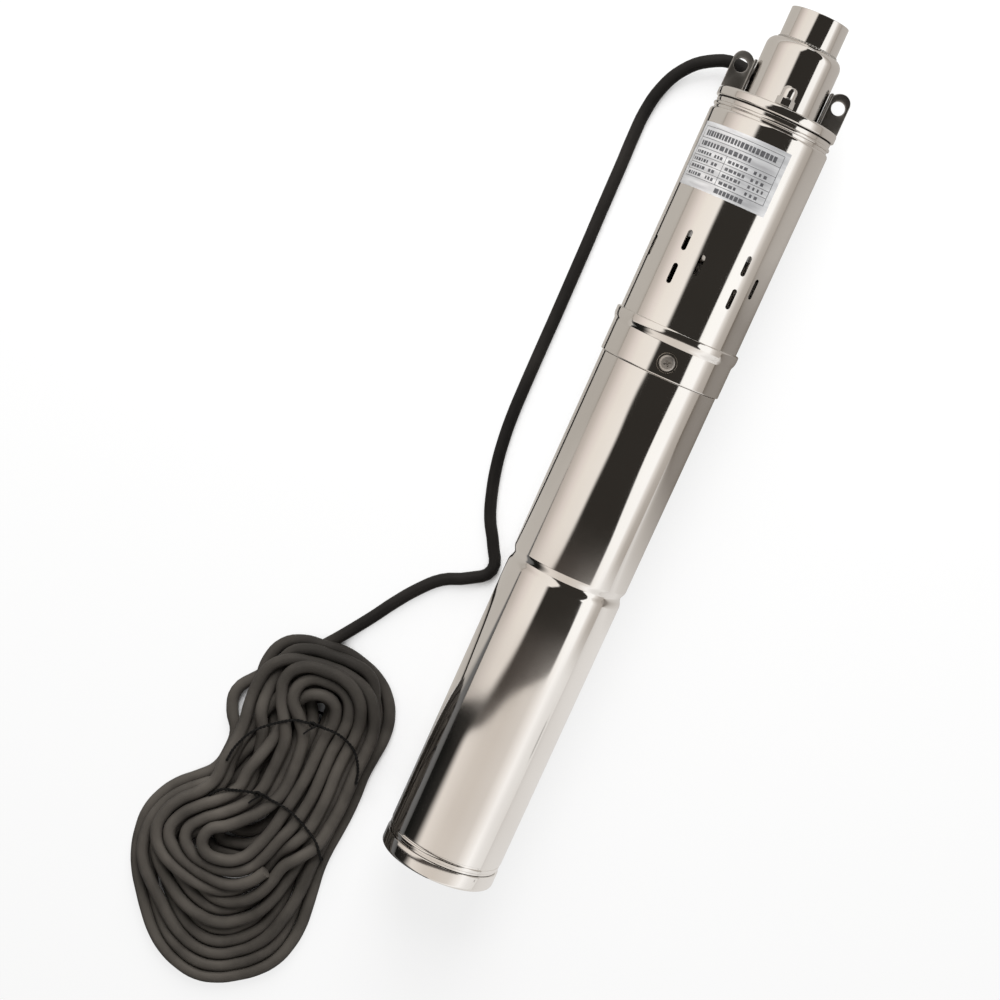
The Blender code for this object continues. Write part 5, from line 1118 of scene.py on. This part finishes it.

# %% [markdown]
# A mirror is only as good as what stands round it. The table is a pale board, white to the camera. To mirrors
# it shows a painted reflection instead: darker tones painted by place, which change along the pump, differ on
# its two sides and turn black on its left side beside the hank. Down in the narrow holes of the hank, where
# hardly any light reaches, it is dark.

# %% Table
# Painted reflection: tones along y in metres that the table shows only to mirrors, on its left and its right
# side
PAINTED_REFLECTION_LEFT = [(-0.5, (0, 0, 0)), (-0.24, (0, 0, 0)), (-0.19, (0.50, 0.46, 0.41)),
              (-0.06, (0.44, 0.40, 0.35)), (0.0, (0.35, 0.31, 0.26)), (0.5, (0.35, 0.31, 0.26))]
PAINTED_REFLECTION_RIGHT = [(-0.5, (0.80, 0.77, 0.74)), (-0.12, (0.80, 0.77, 0.74)), (-0.06, (0.46, 0.42, 0.38)),
               (-0.01, (0.10, 0.07, 0.04)), (0.10, (0.10, 0.07, 0.04)), (0.15, (0.32, 0.28, 0.24)),
               (0.5, (0.32, 0.28, 0.24))]
HALF_TABLE = 3.0

BOARD, tree, shader = start_material("pale_table")
shader.inputs["Base Color"].default_value = (0.86, 0.86, 0.86, 1)
shader.inputs["Roughness"].default_value = 0.9
board_x, board_y, _ = parts_of(tree, "Object")
sides = [tone_ramp(tree, ranged(tree, board_y, -0.5, 0.5), [(y + 0.5, tone) for y, tone in stops])
         for stops in (PAINTED_REFLECTION_LEFT, PAINTED_REFLECTION_RIGHT)]
# The painted reflection: the left or the right tones by x, shown to glossy rays only
painted_board_reflection = mixed(tree, math_node(tree, "GREATER_THAN", board_x, 0.0), *sides)
rays = tree.nodes.new("ShaderNodeLightPath").outputs
# The table glows plain white to the camera, and to glossy rays it glows with the painted reflection
backdrop_and_painted_reflection_glow = tree.nodes.new("ShaderNodeEmission")
feed(tree, backdrop_and_painted_reflection_glow.inputs["Color"], mixed(tree, rays["Is Glossy Ray"], (1, 1, 1), painted_board_reflection))
seen = math_node(tree, "MAXIMUM", rays["Is Camera Ray"], rays["Is Glossy Ray"])
seen = math_node(tree, "MAXIMUM", seen, rays["Is Transmission Ray"])
nook = tree.nodes.new("ShaderNodeAmbientOcclusion")
nook.samples = 8
nook.inputs["Distance"].default_value = 0.08
open_share = ranged(tree, nook.outputs["AO"], 0.18, 0.50, 0.0, 0.80)
blend = tree.nodes.new("ShaderNodeMixShader")
for socket, value in zip(blend.inputs, (math_node(tree, "MULTIPLY", seen, open_share),
                                        shader.outputs[0], backdrop_and_painted_reflection_glow.outputs[0])):
    feed(tree, socket, value)
feed(tree, tree.nodes["Material Output"].inputs["Surface"], blend.outputs[0])

shape = bmesh.new()
shape.faces.new([shape.verts.new((x * HALF_TABLE, y * HALF_TABLE, 0))
                 for x, y in ((-1, -1), (1, -1), (1, 1), (-1, 1))])
board_mesh = bpy.data.meshes.new("table")
shape.to_mesh(board_mesh)
shape.free()
board_mesh.materials.append(BOARD)
table = bpy.data.objects.new("table", board_mesh)
bpy.context.scene.collection.objects.link(table)
print("table", 2 * HALF_TABLE, "m wide")

# %% [markdown]
# The world is a plain white to the camera, an even pale light to matt surfaces, and to mirrors
# it is the room over the table: pale walls, one long dark gap between two soft boxes, and a
# bright box on its right. The gap runs along the pump and swings to the left past the base, as
# the photograph's barrel shows. Its edges are two curves of the reflected direction's y. All
# directions are told by their lean, the angle from straight up, as a share of half a turn.

# %% Room that the steel mirrors
room = bpy.data.worlds.new("studio_room")
bpy.context.scene.world = room
room.use_nodes = True
tree = room.node_tree


def plus(first, second):
    return math_node(tree, "ADD", first, second)


def minus(first, second):
    return math_node(tree, "SUBTRACT", first, second)


def times(first, second):
    return math_node(tree, "MULTIPLY", first, second)


across, along, upward = parts_of(tree, "Generated")
lean = times(math_node(tree, "ARCTAN2", across, upward), 1 / math.pi)

# Edges of the dark gap in degrees from straight up, for values of the direction's y
Y_LOW, Y_HIGH = -0.36, 0.20
LEFT_EDGE = [(-0.36, -178), (-0.276, -176), (-0.2687, -105), (-0.2658, -71), (-0.2584, -45),
             (-0.239, -39.5), (-0.21, -32.5), (-0.16, -28), (-0.10, -26.5), (-0.02, -24.5),
             (0.03, -26.5), (0.12, -20), (0.20, -18)]
RIGHT_EDGE = [(-0.36, -55), (-0.3066, -54), (-0.292, -32), (-0.278, -21), (-0.2583, -10),
              (-0.2396, 8), (-0.2237, 30.5), (-0.209, 46), (-0.16, 46.5), (-0.10, 43),
              (-0.02, 39.5), (0.03, 40), (0.20, 46)]
EDGE_BLUR = [(-0.36, 9), (-0.27, 7), (-0.23, 5), (-0.20, 2.5), (-0.16, 1.2), (0.20, 0.8)]


def curve_of_y(points, low, high):
    """A Float Curve node that turns the direction's y into a value between low and high."""
    node = tree.nodes.new("ShaderNodeFloatCurve")
    line = node.mapping.curves[0]
    while len(line.points) < len(points):
        line.points.new(0.5, 0.5)
    for knot, (y, value) in zip(line.points, points):
        knot.location = ((y - Y_LOW) / (Y_HIGH - Y_LOW), (value - low) / (high - low))
        knot.handle_type = "AUTO_CLAMPED"
    node.mapping.update()
    feed(tree, node.inputs["Value"], times(minus(along, Y_LOW), 1 / (Y_HIGH - Y_LOW)))
    return plus(times(node.outputs[0], (high - low) / 180), low / 180)


def past_edge(edge, blur):
    """0 left of an edge and 1 right of it, with a soft step."""
    return ranged(tree, lean, minus(edge, blur), plus(edge, blur), kind="SMOOTHSTEP")


def by_lean(stops):
    """Tones of the room by degrees from straight up."""
    return tone_ramp(tree, times(plus(lean, 1.0), 0.5),
                     [((degrees + 180) / 360, tone) for degrees, tone in stops])


blur = curve_of_y(EDGE_BLUR, 0, 20)
past_left = past_edge(curve_of_y(LEFT_EDGE, -180, 60), plus(blur, 3.0 / 180))
past_right = past_edge(curve_of_y(RIGHT_EDGE, -180, 60), blur)
inside_gap = times(past_left, minus(1.0, past_right))
print("nodes for the gap:", len(tree.nodes))

# %% [markdown]
# The room over the pump's outlet end is brighter at its top than the room over its base. A thin
# dark post stands low on the right, and the steel mirrors it as a fine line near the base.

# %% Tones of the room
OUTLET_WALLS = [(-180, (0.43, 0.40, 0.36)), (-97, (0.49, 0.44, 0.40)), (-82, (0.62, 0.56, 0.51)),
                (-67, (0.84, 0.76, 0.71)), (-54, (0.94, 0.88, 0.81)), (-28, (0.97, 0.92, 0.86)),
                (20, (0.97, 0.92, 0.86)), (44, (1.14, 1.13, 1.10)), (65, (1.14, 1.13, 1.11)),
                (70, (0.84, 0.80, 0.76)), (79, (0.54, 0.50, 0.46)), (92, (0.45, 0.41, 0.37)),
                (180, (0.35, 0.32, 0.29))]
BASE_WALLS = [(-180, (0.50, 0.47, 0.44)), (-95, (0.58, 0.54, 0.49)), (-79, (0.71, 0.65, 0.60)),
              (-60, (0.84, 0.78, 0.72)), (-45, (0.87, 0.81, 0.75)), (-18, (0.74, 0.68, 0.62)),
              (2, (0.72, 0.66, 0.60)), (32, (0.77, 0.72, 0.67)), (46, (0.96, 0.92, 0.88)),
              (58, (1.10, 1.08, 1.06)), (72, (0.92, 0.90, 0.88)), (95, (0.82, 0.80, 0.77)),
              (180, (0.60, 0.58, 0.55))]
OUTLET_GAP = [(-180, (0.030, 0.027, 0.023)), (180, (0.034, 0.030, 0.026))]
BASE_GAP = [(-180, (0.007, 0.007, 0.006)), (-85, (0.010, 0.010, 0.009)), (-52, (0.035, 0.032, 0.029)),
            (-32, (0.072, 0.060, 0.052)), (0, (0.090, 0.078, 0.070)), (42, (0.190, 0.175, 0.162))]
POST_LEAN, POST_HALF_WIDTH, POST_Y, POST_HALF_LENGTH, POST_SHARE = 85.5 / 180, 1.5 / 180, -0.272, 0.017, 0.62


def within(value, middle, reach):
    """1 where a value is nearer to a middle than a reach, and 0 elsewhere."""
    return math_node(tree, "LESS_THAN", math_node(tree, "ABSOLUTE", minus(value, middle)), reach)


def shown_to(kind, first, second):
    """A shader that is the second one to one kind of ray and the first to all others."""
    blend = tree.nodes.new("ShaderNodeMixShader")
    for socket, value in zip(blend.inputs, (rays[kind], first, second)):
        feed(tree, socket, value)
    return blend.outputs[0]


def background(tone, strength):
    made = tree.nodes.new("ShaderNodeBackground")
    feed(tree, made.inputs["Color"], tone)
    made.inputs["Strength"].default_value = strength
    return made.outputs[0]


toward_base = ranged(tree, along, -0.15, -0.215, kind="SMOOTHSTEP")
walls = mixed(tree, toward_base, by_lean(OUTLET_WALLS), by_lean(BASE_WALLS))
gap_tone = mixed(tree, toward_base, by_lean(OUTLET_GAP), by_lean(BASE_GAP))
post = times(within(lean, POST_LEAN, POST_HALF_WIDTH), within(along, POST_Y, POST_HALF_LENGTH))
dark_share = math_node(tree, "MAXIMUM", inside_gap, times(post, POST_SHARE))
rays = tree.nodes.new("ShaderNodeLightPath").outputs
lit = shown_to("Is Glossy Ray", background((1.0, 0.99, 0.975), 0.28),
               background(mixed(tree, dark_share, walls, gap_tone), 1.0))
feed(tree, tree.nodes["World Output"].inputs["Surface"],
     shown_to("Is Camera Ray", lit, background((1, 1, 1), 1.0)))
print("nodes for the room:", len(tree.nodes))

# %% [markdown]
# One large soft box stands low beyond the outlet end. It gives the rubber its highlights and
# the table its shadow. The steel doesn't see it, because the room already holds its reflections.

# %% Soft box
lamp = bpy.data.lights.new("soft_box", "AREA")
lamp.shape = "RECTANGLE"
lamp.size, lamp.size_y = 0.9, 1.4
lamp.energy = 44
soft_box = bpy.data.objects.new("soft_box", lamp)
bpy.context.scene.collection.objects.link(soft_box)
soft_box.visible_glossy = False
soft_box.location = (-0.35, 1.15, 0.95)
soft_box.rotation_euler = (Vector((-0.05, -0.05, 0)) - soft_box.location).to_track_quat("-Z", "Y").to_euler()
print("soft box at", [round(v, 2) for v in soft_box.location])

# %% [markdown]
# Last, the view layer is brought up to date.

# %% Bring the view layer up to date
bpy.context.view_layer.update()
